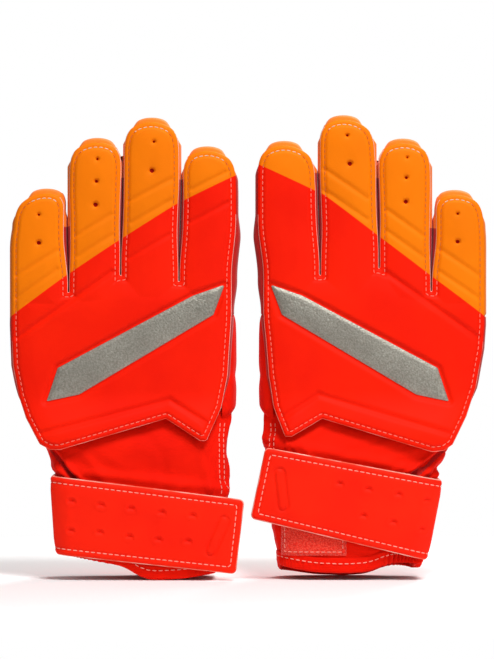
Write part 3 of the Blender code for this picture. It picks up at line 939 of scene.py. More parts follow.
def gusset(side):
    """The stretch strip between the two sheets, all round the fingers and down both sides.

    It bulges outward, is drawn in at the fingertips' shoulders and keeps to its half of each slit, where it
    is coloured dark red as painted shade.
    """
    field = partial(outline, side, grow=-0.7)
    u, z, _, loops = cut_sheet(field, *HAND_BOX, 0.9)
    shape = SHAPES[side]
    parts = []
    for loop in loops:
        lu, lz = u[loop], z[loop]
        gu, gz = gradient(field, lu, lz)
        bulge = 2.4 * smooth(lz, 90.0, 118.0)
        for number, (tip, middle) in enumerate(zip(shape["tips"], shape["tip_middles"])):
            near = np.exp(-(((lu - middle) / 9.5) ** 4)) * smooth(lz, tip - 11.0, tip - 4.0)
            shoulder = smooth(np.abs(lu - middle), 6.5, 12.5) * smooth(lz, tip - 18.0, tip - 8.5)
            bulge = bulge * (1.0 - 0.8 * in_finger(side, number, lu, lz) * shoulder) + 1.7 * near
        trim = np.full(len(lu), 0.4)
        painted_shade = np.zeros(len(lu))
        for number, (_, foot) in enumerate(shape["slits"]):
            centre = slit_centre(side, number, lz)
            room = np.abs(lu - centre) - 0.004
            beside = (room < 5.0) & (lz > foot - 2.0)
            tips = shape["tips"][number : number + 2]
            extra = 1.4 * smooth(np.where(lu < centre, *tips) - lz, 9.0, 22.0)
            bulge = np.where(beside, np.minimum(bulge + extra, np.maximum(room, 0.2)), bulge)
            trim = np.where(beside, 0.0, trim)
            painted_shade = np.where(beside, 1.0 - smooth(lz, min(tips) - 30.0, min(tips) - 12.0), painted_shade)
        bulge += 1.9 * smooth(lu, 58.0, 60.0) * falling(lz, 200.0, 216.0) * smooth(lz, 158.0, 176.0)
        front = back_base(lu, lz) - GUSSET_TUCK
        palm = palm_base(lz) - GUSSET_LAP
        rings = []
        for row in range(GUSSET_ROWS):
            t = row / (GUSSET_ROWS - 1)
            arch = math.sin(math.pi * t * 1.25) ** 0.55 if t < 0.8 else 0.0
            reach = np.maximum(bulge * arch - trim, -0.4) if row else -1.0
            rings.append(xyz(lu + gu * reach, front + (palm - front) * t, lz + gz * reach))
        part = band(rings, "gusset", flip=True)
        lifted = border_height(side, part.points[:, 0], part.points[:, 2])
        # Inside the slits the gusset counts as far below the colour border, so it is painted dark red as
        # shade.
        part.border = lifted - SLIT_SHADE * np.tile(painted_shade, GUSSET_ROWS)
        across, _, up = part.centres().T
        parts.append(part.keep(up > np.where(across < 0.0, 103.0, 92.0)))
    return parts


# ------------------------------------------------------------------ cutting at the joints

# How far a bend is spread to each side of its hinge, and each finger's place across for it.
BEND_REACH = 9.0
BEND_MIDDLES = (-50.0, -17.0, 15.0, 48.0)


def finger_zones(side):
    """Per finger: the height where it leaves the hand, the cut between its lengths, and both bends."""
    feet = [foot for _, foot in SHAPES[side]["slits"]]
    zones = []
    for index, finger in enumerate(FINGER_NAMES):
        leave = max(feet[max(index - 1, 0) : index + 1]) + 0.6
        knuckle = hinge_up(side, finger, "knuckle")
        bend = hinge_up(side, finger, "middle_joint")
        spans = ((leave, knuckle + BEND_REACH), (bend - BEND_REACH, bend + BEND_REACH))
        zones.append((leave, 0.5 * (knuckle + bend), spans))
    return zones


def cut_parts(side, parts):
    """Share out every face between the hand and the two lengths of each finger."""
    pieces = {}
    for part in parts:
        across, _, up = part.centres().T
        rest = np.ones(len(up), bool)
        for index, (leave, cut, _) in enumerate(finger_zones(side)):
            mine = in_finger(side, index, across, up) & (up > leave)
            rest &= ~mine
            for length, chosen in (("base", mine & (up <= cut)), ("tip", mine & (up > cut))):
                pieces.setdefault(f"{FINGER_NAMES[index]}_{length}", []).append(part.keep(chosen))
        pieces.setdefault("hand", []).append(part.keep(rest))
    return pieces


def build_hand(side):
    """Back sheet, palm sheet, gussets and their seams, cut at the joints; the hand's share rides on the
    hand.
    """
    pieces = cut_parts(side, back_sheet(side) + palm_sheet(side) + gusset(side) + sheet_stitches(side))
    back = [p for p in pieces["hand"] if p.slot != "palm"]
    palm = [p for p in pieces["hand"] if p.slot == "palm"]
    add_piece(side, "back_panel_skin", back, ("back_panel",))
    add_piece(side, "palm_skin", palm, ("palm_panel",))
    for finger, middle, (_, _, spans) in zip(FINGER_NAMES, BEND_MIDDLES, finger_zones(side)):
        chain = ("hand", f"{finger}_base", f"{finger}_tip")
        for carrier, length, (low, high) in zip(chain, chain[1:], spans):
            add_piece(
                side, f"{length}_skin", pieces[length], (f"{length}_roll", f"{length}_pad"),
                (carrier, length), ((middle, 0.0, low), (middle, 0.0, high)),
            )


# ------------------------------------------------------------------ wrist tube

CUFF_TOP = 77.0

# The tube's side below the little finger: its reach at the hem, at 60 mm up and at the cuff's top.
LITTLE_SIDE = {"left": (36.2, 40.2, 46.4), "right": (28.0, 38.8, 46.0)}
# Its side below the thumb, as heights and places across.
THUMB_SIDE = ((0.0, 53.4), (10.0, 54.6), (30.0, 57.6), (46.0, 59.8), (CUFF_TOP, 61.8))
# Where the cuff's closing seam runs, across.
SEAM_ACROSS = 58.2
# The turned hem's section as (up, outward).
HEM_ROLL = (
    (9.2, 0.0), (8.9, 0.7), (7.6, 1.0), (4.4, 0.75), (1.6, 0.9), (0.35, 0.3),
    (0.0, -0.7), (0.35, -1.9), (1.6, -2.6), (5.0, -2.8), (9.0, -2.6),
)


def tube_sides(side, z):
    """The wrist tube's two sides across, which narrow from the hand to the hem."""
    z = np.asarray(z, float)
    hem, middle, top = LITTLE_SIDE[side]
    narrow = np.clip((120.0 - z) / 43.0, 0.0, 1.0)
    below = np.interp(z, (0.0, 60.0, CUFF_TOP), (-hem, -middle, -top))
    low = np.where(z >= CUFF_TOP, -65.4 + (65.4 - top) * narrow ** 1.4, below)
    return low, np.where(z >= CUFF_TOP, 64.4 - 2.6 * narrow, ramp(z, THUMB_SIDE))


def tube_depths(z):
    """The tube's back and palm depths: deep at the wrist and flat under the hand."""
    wrist = falling(z, 76.0, 104.0)
    return -10.6 - 9.9 * wrist, 11.0 + 9.5 * wrist


def tube_power(z):
    """How square the tube's section is: squarer at the hem than under the hand."""
    return 4.4 - smooth(z, 56.0, 82.0)


def tube_point(side, z, share, grow=0.0):
    """Across, depth and outward direction on the tube at a height and a share of the way round."""
    angle = 2.0 * math.pi * np.asarray(share, float)
    low, high = tube_sides(side, z)
    back, palm = tube_depths(z)
    power = tube_power(z)
    c = np.sign(np.cos(angle)) * np.abs(np.cos(angle)) ** (2.0 / power)
    s = np.sign(np.sin(angle)) * np.abs(np.sin(angle)) ** (2.0 / power)
    wide = (high - low) / 2.0
    deep = (palm - back) / 2.0
    nu = np.sign(c) * np.abs(c) ** (power - 1.0) / wide
    ny = np.sign(s) * np.abs(s) ** (power - 1.0) / deep
    size = np.hypot(nu, ny)
    u = (low + high) / 2.0 + wide * c + grow * nu / size
    y = (back + palm) / 2.0 + deep * s + grow * ny / size
    return u, y, nu / size, ny / size


def front_depth(side, u, z):
    """Depth of the plain tube's back face at a place across and a height."""
    low, high = tube_sides(side, z)
    back, palm = tube_depths(z)
    power = tube_power(z)
    c = np.clip((u - (low + high) / 2.0) / ((high - low) / 2.0), -0.985, 0.985)
    return (back + palm) / 2.0 - (palm - back) / 2.0 * (1.0 - np.abs(c) ** power) ** (1.0 / power)


def above_strap(side, u, z):
    """Height above the strap's middle line."""
    return z - (STRAPS[side]["rise"] + STRAPS[side]["slope"] * u)


# The fabric between the strap and the hand is laid as cloth: rows up the tube, columns round it.
CLOTH_HEIGHTS = np.linspace(40.0, 122.0, 42)
CLOTH_COLUMNS = 120
CLOTH_LOOSE = -0.055
CLOTH_FRAMES = 20
# Millimetres to one unit of the cloth's own space, and the most it may move the fabric, in mm.
CLOTH_UNIT = 100.0
CLOTH_MOST = 1.9
CLOTH_SOFT = 2.4


def settle_fabric(side):
    """How far the wrist fabric moves outward when it is let go, held under the strap and the hand."""
    shape = (len(CLOTH_HEIGHTS), CLOTH_COLUMNS)
    z = np.repeat(CLOTH_HEIGHTS, CLOTH_COLUMNS)
    share = np.tile(np.arange(CLOTH_COLUMNS) / CLOTH_COLUMNS, len(CLOTH_HEIGHTS))
    u, y, nu, ny = tube_point(side, z, share)
    start = xyz(u, y, z) / CLOTH_UNIT
    hold = np.maximum(1.0 - smooth(above_strap(side, u, z), 18.0, 24.0), smooth(z, 104.0, 114.0))
    mesh = bpy.data.meshes.new("cloth")
    mesh.from_pydata(start.tolist(), [], loft_faces(*shape, wrap=True, flip=True))
    item = bpy.data.objects.new("cloth", mesh)
    bpy.context.collection.objects.link(item)
    group = item.vertex_groups.new(name="held")
    for k, weight in enumerate(hold):
        group.add([k], float(weight), "REPLACE")
    cloth = item.modifiers.new("cloth", "CLOTH").settings
    cloth.quality = 6
    cloth.mass = 0.2
    cloth.vertex_group_mass = "held"
    cloth.effector_weights.gravity = 0.0
    cloth.shrink_min = CLOTH_LOOSE
    cloth.use_pressure = True
    cloth.uniform_pressure_force = 1.5
    cloth.bending_stiffness = 0.08
    cloth.air_damping = 3.0
    scene = bpy.context.scene
    for frame_number in range(1, CLOTH_FRAMES + 1):
        scene.frame_set(frame_number)
    settled = item.evaluated_get(bpy.context.evaluated_depsgraph_get())
    end = np.array([tuple(v.co) for v in settled.data.vertices])
    moved = np.sum((end - start) * xyz(nu, ny, 0.0), axis=1) * CLOTH_UNIT
    scene.frame_set(1)
    bpy.data.objects.remove(item)
    bpy.data.meshes.remove(mesh)
    return (CLOTH_MOST * np.tanh(np.nan_to_num(moved) / CLOTH_SOFT)).reshape(shape)


def cloth_relief(side, z, share):
    """The settled cloth's outward movement, read at heights and shares of the way round."""
    table = CLOTH[side]
    row = np.interp(z, CLOTH_HEIGHTS, np.arange(len(CLOTH_HEIGHTS)))
    column = (np.asarray(share, float) % 1.0) * CLOTH_COLUMNS
    r0 = np.minimum(row.astype(int), len(CLOTH_HEIGHTS) - 2)
    c0 = column.astype(int) % CLOTH_COLUMNS
    c1 = (c0 + 1) % CLOTH_COLUMNS
    a, b = row - r0, column - np.floor(column)
    low = table[r0, c0] * (1 - b) + table[r0, c1] * b
    high = table[r0 + 1, c0] * (1 - b) + table[r0 + 1, c1] * b
    return low * (1 - a) + high * a


# Folds in the wrist fabric: path, height, width. Negative heights are creases.
FOLDS = {
    "left": (
        (((-44.0, 84.0), (-26.0, 76.0), (-14.0, 62.0)), 0.9, 3.0),
        (((-20.0, 78.0), (-2.0, 68.0), (14.0, 60.0)), 0.6, 3.5),
        (((28.0, 92.0), (44.0, 76.0), (50.0, 56.0)), 0.8, 3.5),
        (((56.0, 84.0), (50.0, 72.0), (54.0, 56.0)), -0.7, 2.2),
        (((10.0, 88.0), (22.0, 74.0), (24.0, 58.0)), -0.5, 3.0),
    ),
    "right": (
        (((-40.0, 80.0), (-26.0, 76.0), (-8.0, 70.0)), 0.9, 3.0),
        (((18.0, 98.0), (34.0, 86.0), (50.0, 76.0)), 0.9, 3.2),
        (((-10.0, 86.0), (2.0, 78.0), (16.0, 74.0)), -0.6, 2.6),
    ),
}

# The entry slit's folded edge on the little-finger side, from its upper to its lower end.
SLIT_EDGE = {"left": ((-46.5, 80.5), (-25.5, 57.5)), "right": ((-46.0, 79.0), (-22.0, 62.0))}
SLIT_GAP = {"left": (0.9, 1.6), "right": (0.9, 3.2)}

def slit_place(side, u, z):
    """Distance out of the entry slit's edge, share of the way along it, and the gap's width there."""
    (a0, b0), (a1, b1) = SLIT_EDGE[side]
    size = math.hypot(a1 - a0, b1 - b0)
    out = ((u - a0) * (b1 - b0) - (z - b0) * (a1 - a0)) / size
    along = ((u - a0) * (a1 - a0) + (z - b0) * (b1 - b0)) / size ** 2
    start, more = SLIT_GAP[side]
    return out, along, start + more * np.clip(along, 0.0, 1.0)


def tube_relief(side, u, y, z, share):
    """How far the wrist fabric stands out of its plain tube: soft folds, gathers and seams."""
    front = 1.0 - smooth(y, -9.0, -3.0)
    around = np.asarray(share, float) * 170.0
    above = above_strap(side, u, z)
    free = smooth(np.abs(above), 17.0, 26.0)
    relief = 0.65 * wave(around, z * 1.3, 21, 34.0) * free
    relief += 0.35 * wave(around * 1.6, z * 0.7, 22, 17.0) * free
    relief += 1.7 * bell(above - 26.5, 3.4) * (1.0 + 0.5 * wave(around, z * 0.2, 23, 40.0))
    relief += 0.7 * bell(above + 25.5, 2.6)
    for path, height, width in FOLDS[side]:
        relief += front * height * bell(path_distance(u, z, path), width)
    out, along, gap = slit_place(side, u, z)
    near = front * smooth(along, -0.12, 0.1) * (1.0 - smooth(along, 0.95, 1.15))
    lip = 1.5 * bell(out + 1.2, 1.4)
    trench = -3.2 * smooth(out, 0.0, 0.8) * (1.0 - smooth(out, gap, gap + 1.1))
    roll = 2.2 * bell(out - gap - 2.4, 1.7) - 1.4 * bell(out - gap - 5.4, 0.9)
    relief += near * (lip + trench + roll)
    gathers = np.sin(around * 2.5 + 2.5 * wave(around, z, 4, 30.0)) * falling(z, 9.0, 24.0)
    near_little = falling(u, -14.0, 6.0 if side == "left" else -2.0)
    relief += (0.3 + 1.3 * near_little) * gathers * (0.15 + near_little)
    relief -= 0.5 * bell(u - SEAM_ACROSS, 0.9) * front
    relief += cloth_relief(side, z, share)
    under_hand = smooth(z, 90.0, 104.0)
    return relief * (1.0 - under_hand) - 0.8 * under_hand


def hem_low(side, u, y):
    """Height of the hem's lower edge, read off its table at three near places to soften the corners."""
    front = sum(ramp(u + shift, SHAPES[side]["hem_low"]) for shift in (-3.5, 0.0, 3.5)) / 3.0
    rear = np.maximum(0.0, front - 4.1) if side == "right" else front * 0.92
    share = smooth(y, -10.0, 10.0)
    return front * (1.0 - share) + rear * share


def tube_part(side, heights, count, inside=False):
    """A stretch of the wrist tube. Heights below the cuff's top are squeezed in above the hem."""
    z, share = np.meshgrid(heights, np.arange(count) / count, indexing="ij")
    u, y, nu, ny = tube_point(side, z, share, -2.4 if inside else 0.0)
    low = hem_low(side, u, y)
    z = np.where(z < CUFF_TOP, low + z * (CUFF_TOP - low) / CUFF_TOP, z)
    relief = tube_relief(side, u, y, z, share) * (0.4 if inside else 1.0)
    faces = loft_faces(len(heights), count, wrap=True, flip=not inside)
    return Part(xyz(u + nu * relief, y + ny * relief, z), faces, "fabric")


def tube_run(side, share, up, out=0.0, lift=0.0, from_hem=False):
    """Points and outward directions along a path on the tube, at true heights or from the hem."""
    u, y, nu, ny = tube_point(side, up, share, out)
    z = hem_low(side, u, y) + up if from_hem else up
    relief = tube_relief(side, u, y, z, share) + lift
    return xyz(u + nu * relief, y + ny * relief, z), xyz(nu, ny, 0.0)


def hem_part(side, count):
    """The turned and stitched hem: a soft roll along the cuff's lower edge."""
    share = np.arange(count) / count
    rings = []
    for up, out in HEM_ROLL:
        pucker = 0.25 * np.sin(share * 2.0 * math.pi * 62.0) * bell(up - 4.6, 1.6)
        rings.append(tube_run(side, share, up, out, pucker, from_hem=True)[0])
    return band(rings, "fabric")


def seam_stitches(side):
    """Two rows of stitches, one to each side of the cuff's closing seam."""
    heights = np.arange(50.0, 93.0, 0.8)
    options = np.linspace(0.75, 1.0, 500)
    rows = []
    for shift in (-1.5, 1.5):
        near = [np.abs(tube_point(side, z, options)[0] - (SEAM_ACROSS + shift)).argmin() for z in heights]
        points, normals = tube_run(side, options[near], heights, lift=0.05)
        rows.append(stitch_run(points, normals, 2.1, 1.0, 0.55, "thread_pink"))
    return rows


def split_slit_shade(whole, chosen, painted_shade):
    """The chosen faces of the wrist fabric, with the entry slit's trench as its own part, painted in the
    gusset's dark red as shade.
    """
    shade_part = whole.keep(chosen & painted_shade, "gusset")
    shade_part.border = np.full(len(shade_part.points), -30.0)
    return [whole.keep(chosen & ~painted_shade), shade_part]


def build_wrist(side):
    """The fabric sleeve, the cuff, its lining, its seams and its hem."""
    count, step = ((420, 0.8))
    cuff_heights = np.arange(8.2, CUFF_TOP + step * 0.5, step)
    cuff_heights[-1] = CUFF_TOP
    sleeve_heights = np.arange(CUFF_TOP, 132.0 + step, step)[1:]
    whole = tube_part(side, np.concatenate([cuff_heights, sleeve_heights]), count)
    across, depth, up = whole.centres().T
    out, along, gap = slit_place(side, across, up)
    # Faces in the entry slit's trench, which are painted dark red as shade.
    painted_shade = (out > 0.25) & (out < gap + 0.7) & (along > -0.02) & (along < 1.05) & (depth < -5.0)
    upper = up > CUFF_TOP
    sleeve = add_piece(side, "sleeve_skin", split_slit_shade(whole, upper, painted_shade), ("hand_sleeve",))
    cuff = add_piece(side, "cuff_skin", split_slit_shade(whole, ~upper, painted_shade), ("cuff",))
    inside = tube_part(side, np.linspace(4.0, 150.0, 40), 90, inside=True)
    lining = add_piece(side, "cuff_lining", [inside])
    add_piece(side, "cuff_seams", seam_stitches(side))
    points, normals = tube_run(side, np.arange(0.0, 1.0005, 1.0 / 900), 5.6, 1.0, from_hem=True)
    seam = stitch_run(points, normals, 2.4, 1.2, 0.6, "thread_pink", height=0.3)
    add_piece(side, "hem_skin", [hem_part(side, count * 2), seam], ("hem",))


# ------------------------------------------------------------------ strap

STRAP_FACE = -26.4
STRAP_THICK = 3.0
STRAP_SEAM_IN = 3.3
# Per glove: the strap's slope and rise where it crosses the cuff, its fold's place across and lean, its
# half widths at the fold and at the tab's end, its length, and its dimples, their depth and its mark.
STRAPS = {
    "left": {
        "slope": -0.116, "rise": 33.6, "fold": -41.0, "lean": 3.8, "half": (22.6, 21.4), "length": 109.0,
        "dimples": (
            (10.6, 9.4), (27.9, 9.0), (45.2, 9.0), (63.1, 8.8), (80.9, 9.0),
            (9.4, -8.0), (26.8, -7.1), (44.4, -7.4), (61.7, -7.2), (79.2, -6.3),
        ),
        "depth": 0.9, "mark": (96.0, -1.0),
    },
    "right": {
        "slope": 0.213, "rise": 43.3, "fold": -36.5, "lean": 11.0, "half": (23.4, 20.8), "length": 104.6,
        "dimples": (
            (5.6, 10.4), (22.9, 10.4), (40.8, 9.6), (58.0, 9.4),
            (5.4, -6.9), (22.8, -6.2), (40.6, -6.2),
        ),
        "depth": 0.85, "mark": (91.0, -1.0),
    },
}

# The strap's outer face as it comes round the cuff, as (along, depth), from the tab's side.
WRAP_PATH = (
    (0.0, -22.6), (-0.7, -21.9), (-1.2, -20.4), (-1.5, -16.5), (-1.5, -9.0), (-1.5, 6.0), (-1.1, 12.5),
    (0.9, 18.6), (5.0, 22.4), (11.0, 24.0), (24.0, 24.5), (92.0, 24.2),
)
FOLD_DEPTH = 3.8
FOLD_REACH = 10.0
FOLD_POWER = 2.1
# How far round the cuff the strap ends.
WRAP_END = 128.0
# The cut edge as (outward, depth below the face); the first ring lies on the face's rim.
STRAP_RIM = ((0.35, -1.2), (0.55, -1.7), (0.45, -2.6), (0.0, -STRAP_THICK))
# The loop tape's lower and upper corners on the cuff, and how far in its stitches run.
LOOP_LOW = (14.2, 14.5)
LOOP_HIGH = (52.6, 46.0)
LOOP_STITCH_IN = 2.2


def wrap_table():
    """The wrap path as dense arrays of path length and of (along, depth), smoothly curved."""
    points = np.array(WRAP_PATH)
    last = len(points) - 1
    dense = []
    for k in range(last):
        before, a, b, after = points[[max(k - 1, 0), k, k + 1, min(k + 2, last)]]
        for t in np.arange(12) / 12.0:
            square = (2.0 * before - 5.0 * a + 4.0 * b - after) * t * t
            cube = (3.0 * a - before - 3.0 * b + after) * t ** 3
            dense.append(0.5 * (2.0 * a + (b - before) * t + square + cube))
    table = np.array([*dense, points[-1]])
    return path_lengths(table), table


WRAP_LENGTH, WRAP_TABLE = wrap_table()


def wrap_at(reach):
    """Along and depth of the strap's face at a path length round the cuff."""
    return [np.interp(reach, WRAP_LENGTH, column) for column in WRAP_TABLE.T]


def strap_place(side, s, t, off):
    """Along the strap from the fold (negative round the cuff), up it, and out of its face, to hand
    coordinates."""
    data = STRAPS[side]
    s = np.asarray(s, float)
    on_front = s >= 0.0
    reach = np.clip(-s, 0.0, None)
    along, depth = wrap_at(reach)
    (ahead_a, ahead_d), (behind_a, behind_d) = wrap_at(reach + 0.6), wrap_at(reach - 0.6)
    flat = np.clip(1.0 - s / FOLD_REACH, 0.0, 1.0)
    slope = FOLD_DEPTH * FOLD_POWER / FOLD_REACH * flat ** (FOLD_POWER - 1.0)
    along = np.where(on_front, s, along)
    depth = np.where(on_front, STRAP_FACE + FOLD_DEPTH * flat ** FOLD_POWER, depth)
    na = np.where(on_front, -slope, behind_d - ahead_d)
    nd = np.where(on_front, -1.0, ahead_a - behind_a)
    size = np.maximum(np.hypot(na, nd), 1e-6)
    slant = math.atan(data["slope"])
    fold_lean = math.radians(data["lean"])
    lean = fold_lean + (slant - fold_lean) * np.clip(along / data["length"], 0.0, 1.0)
    along = along + na / size * off
    u = data["fold"] + along * math.cos(slant) - t * np.sin(lean)
    z = data["rise"] + data["slope"] * data["fold"] + along * math.sin(slant) + t * np.cos(lean)
    return xyz(u, depth + nd / size * off, z)


def strap_outline(side, s, t):
    """Signed distance to the strap's cut shape: a band with a rounded tab end."""
    data = STRAPS[side]
    half_fold, half_end = data["half"]
    half = half_fold + (half_end - half_fold) * np.clip(s / data["length"], 0.0, 1.0)
    corner = 2.4
    across = np.abs(t) - half + corner
    along = s - data["length"] + corner
    rounded = np.hypot(np.maximum(along, 0.0), np.maximum(across, 0.0)) - corner
    return np.maximum(rounded + np.minimum(np.maximum(along, across), 0.0), -WRAP_END - s)


def strap_relief(side, s, t):
    """How far the strap's face stands out: pillowed edges, seam groove, dimples and a plain mark."""
    data = STRAPS[side]
    edge = np.maximum(-strap_outline(side, s, t), 0.0)
    relief = -0.9 * np.exp(-edge / 0.9) - 0.55 * bell(edge - STRAP_SEAM_IN, 0.7)
    relief += 0.3 * smooth(edge, 4.0, 9.0)
    relief += 0.28 * wave(s, t, 31 if side == "left" else 32, 40.0) * smooth(s, 2.0, 12.0)
    for across, up in data["dimples"]:
        d = np.hypot((s - across) / 1.2, t - up)
        moon = np.hypot((s - across) / 1.2, t - up + 1.2)
        relief -= data["depth"] * 2.2 * bell(d, 1.4) * smooth(moon, 0.6, 1.8)
        relief += data["depth"] * 0.3 * bell(d - 2.7, 0.9)
    a, b = data["mark"]
    d = line_distance(s, t, (a - 3.0, b - 9.0), (a + 3.0, b + 9.0))
    relief -= 0.9 * bell(d - 3.0, 0.65)
    return relief + 0.3 * (1.0 - smooth(d, 1.2, 2.6))


def strap_parts(side):
    """The strap's face, lining, cut edge and stitches, each with its points' places along the strap."""
    field = partial(strap_outline, side)
    low, high = (-WRAP_END - 1.5, -26.0), (STRAPS[side]["length"] + 2.0, 26.0)
    s, t, quads, loops = cut_sheet(field, low, high, 0.7)
    front = strap_relief(side, s, t)
    yield Part(strap_place(side, s, t, front), quads, "strap"), s
    yield Part(strap_place(side, s, t, -STRAP_THICK), [q[::-1] for q in quads], "lining"), s
    for loop in loops:
        gs, gt = gradient(field, s[loop], t[loop])
        steps = ((0.0, front[loop]), *STRAP_RIM)
        rings = [strap_place(side, s[loop] + gs * out, t[loop] + gt * out, off) for out, off in steps]
        yield band(rings, "foam"), np.concatenate([s[loop] + gs * out for out, _ in steps])
    for a, b in level_paths(field, STRAP_SEAM_IN, low, high):
        off = strap_relief(side, a, b)
        points = strap_place(side, a, b, off)
        normals = strap_place(side, a, b, off + 1.0) - points
        run = stitch_run(points + 0.2 * normals, normals, 2.5, 1.0, 0.62, "thread_pink", height=0.4)
        nearest = np.linalg.norm(run.points[:, None] - points[None, ::2], axis=2).argmin(axis=1)
        yield run, a[::2][nearest]


def hook_parts(side):
    """The rectangle of hook tape on the strap's inside, with softened edges."""
    rows, columns = 40, 28
    low, high = STRAPS[side]["length"] - 48.0, STRAPS[side]["length"] - 8.0
    half = 13.5
    s, t = np.meshgrid(np.linspace(low, high, rows), np.linspace(-half, half, columns), indexing="ij")
    s, t = s.ravel(), t.ravel()
    edge = np.minimum.reduce([s - low, high - s, half - np.abs(t)])
    base = -STRAP_THICK - 0.05
    top = base - 0.35 - 0.65 * smooth(edge, 0.0, 1.2)
    face = Part(strap_place(side, s, t, top), loft_faces(rows, columns, flip=True), "hook")
    return [face, Part(strap_place(side, s, t, base), loft_faces(rows, columns), "hook")]


def build_strap(side):
    """The closing strap: the part sewn round the cuff, the tab that peels, and its hook tape."""
    tab = []
    wrap = []
    for part, local in strap_parts(side):
        peels = np.array([local[list(f)].mean() for f in part.faces]) > 0.0
        tab.append(part.keep(peels))
        wrap.append(part.keep(~peels))
    add_piece(side, "strap_wrap_skin", wrap, ("strap_wrap",))
    span = strap_place(side, (0.0, 9.0), 0.0, 0.0)
    add_piece(side, "strap_tab_skin", tab, ("strap_tab",), ("hand", "strap"), span)
    add_piece(side, "hook_tape", hook_parts(side), ("hook_patch",), ("strap",))


def build_loop_patch(side):
    """The stitched rectangle of loop tape on the front of the cuff."""
    (left, bottom), (right, top) = LOOP_LOW, LOOP_HIGH
    u, z = np.meshgrid(np.linspace(left, right, 60), np.linspace(bottom, top, 50), indexing="ij")
    edge = np.minimum.reduce([u - left, right - u, z - bottom, top - z])
    rise = 0.35 + 0.95 * smooth(edge, 0.0, 1.6) - 0.35 * bell(edge - 2.2, 0.5)
    face = Part(xyz(u, front_depth(side, u, z) - 0.5 - rise, z), loft_faces(60, 50), "loop")
    turn = np.arange(80) / 20.0
    wide, tall = right - left - 2.0 * LOOP_STITCH_IN, top - bottom - 2.0 * LOOP_STITCH_IN
    across = left + LOOP_STITCH_IN + wide * np.interp(turn, range(5), (0.0, 1.0, 1.0, 0.0, 0.0))
    up = bottom + LOOP_STITCH_IN + tall * np.interp(turn, range(5), (0.0, 0.0, 1.0, 1.0, 0.0))
    points = xyz(across, front_depth(side, across, up) - 1.5, up)
    run = stitch_run(points, BACKWARD, 2.3, 1.0, 0.5, "thread_pink")
    add_piece(side, "loop_tape", [face, run], ("loop_patch",))


# ------------------------------------------------------------------ emblem


def build_emblem(side):
    """The silver bar, set into the back foam with a dark brown rim round it."""
    low, high = (-52.0, 104.0), (62.0, 190.0)
    u, z, quads, loops = cut_sheet(emblem_distance, low, high, 0.6)
    edge = np.maximum(-emblem_distance(u, z), 0.0)
    raised = 0.12 + 0.35 * (1.0 - np.exp(-edge / 1.3)) + 0.3 * smooth(edge, 2.0, 8.0)
    parts = [Part(xyz(u, back_depth(side, u, z) - raised, z), quads, "silver")]
    for loop in loops:
        gu, gz = gradient(emblem_distance, u[loop], z[loop])
        rings = []
        for out, deeper in ((0.0, 0.0), (0.3, 0.25), (0.9, 0.3), (1.3, 0.9)):
            a, b = u[loop] + gu * out, z[loop] + gz * out
            rings.append(xyz(a, back_depth(side, a, b) - 0.12 + deeper, b))
        parts.append(band(rings, "weld"))
    add_piece(side, "emblem_skin", parts, ("emblem",))


# ------------------------------------------------------------------ thumb

THUMB_TILT = math.radians(27.0)
THUMB_ROOT = (45.0, 105.0)
THUMB_FLOOR = 17.2
THUMB_HALF = 16.2
THUMB_LENGTH = 69.0
THUMB_RADIUS = 20.0
# Height of the back pad's bed above the thumb's floor.
THUMB_BACK = 22.0
THUMB_BOX = ((-19.0, -6.0), (19.0, 72.0))
THUMB_FOAM = ((0.0, 0.0), (0.55, 0.6), (0.55, 1.7), (-2.0, 2.4))
# The carrying fabric's path round the hand's thumb side, as (across, depth), and its bend's two ends.
WEB_PATH = (
    (57.0, -9.0), (61.6, -8.8), (63.8, -4.0), (64.6, 5.0), (64.6, 16.0),
    (63.8, 27.0), (60.6, 36.0), (54.0, 41.0), (46.0, 42.0),
)
WEB_SPAN = ((66.0, 6.0, 125.0), (58.0, 40.0, 125.0))


def thumb_place(a, d, b):
    """Thumb coordinates (across, depth above the palm, along) to hand coordinates."""
    c, s = math.cos(THUMB_TILT), math.sin(THUMB_TILT)
    return xyz(THUMB_ROOT[0] + a * c - b * s, THUMB_FLOOR + d, THUMB_ROOT[1] + a * s + b * c)


def thumb_outline(a, b, grow=0.0):
    """Signed distance to the thumb's cut outline."""
    centre = THUMB_LENGTH - THUMB_RADIUS
    cap = np.where(b < centre, -50.0, np.hypot(a, b - centre) - THUMB_RADIUS)
    return soft_max(soft_max(np.abs(a) - THUMB_HALF, cap, 5.0), -5.0 - b, 9.0) - grow


def thumb_top(a, b):
    """Height of the thumb's back pad: rounded at its edge and sunk along the seam."""
    edge = np.maximum(-thumb_outline(a, b), 0.0)
    thick = 1.5 + 3.2 * (1.0 - np.exp(-edge / 2.0)) + 0.9 * smooth(edge, 3.0, 13.0)
    return THUMB_BACK + thick - 0.8 * bell(edge - STITCH_IN, 0.75) + 0.2 * wave(a, b, 41, 26.0)


def thumb_border(a, b):
    """How far above the colour border the thumb's points lie, in mm."""
    return (b - 50.0 - 0.45 * a) * 0.9


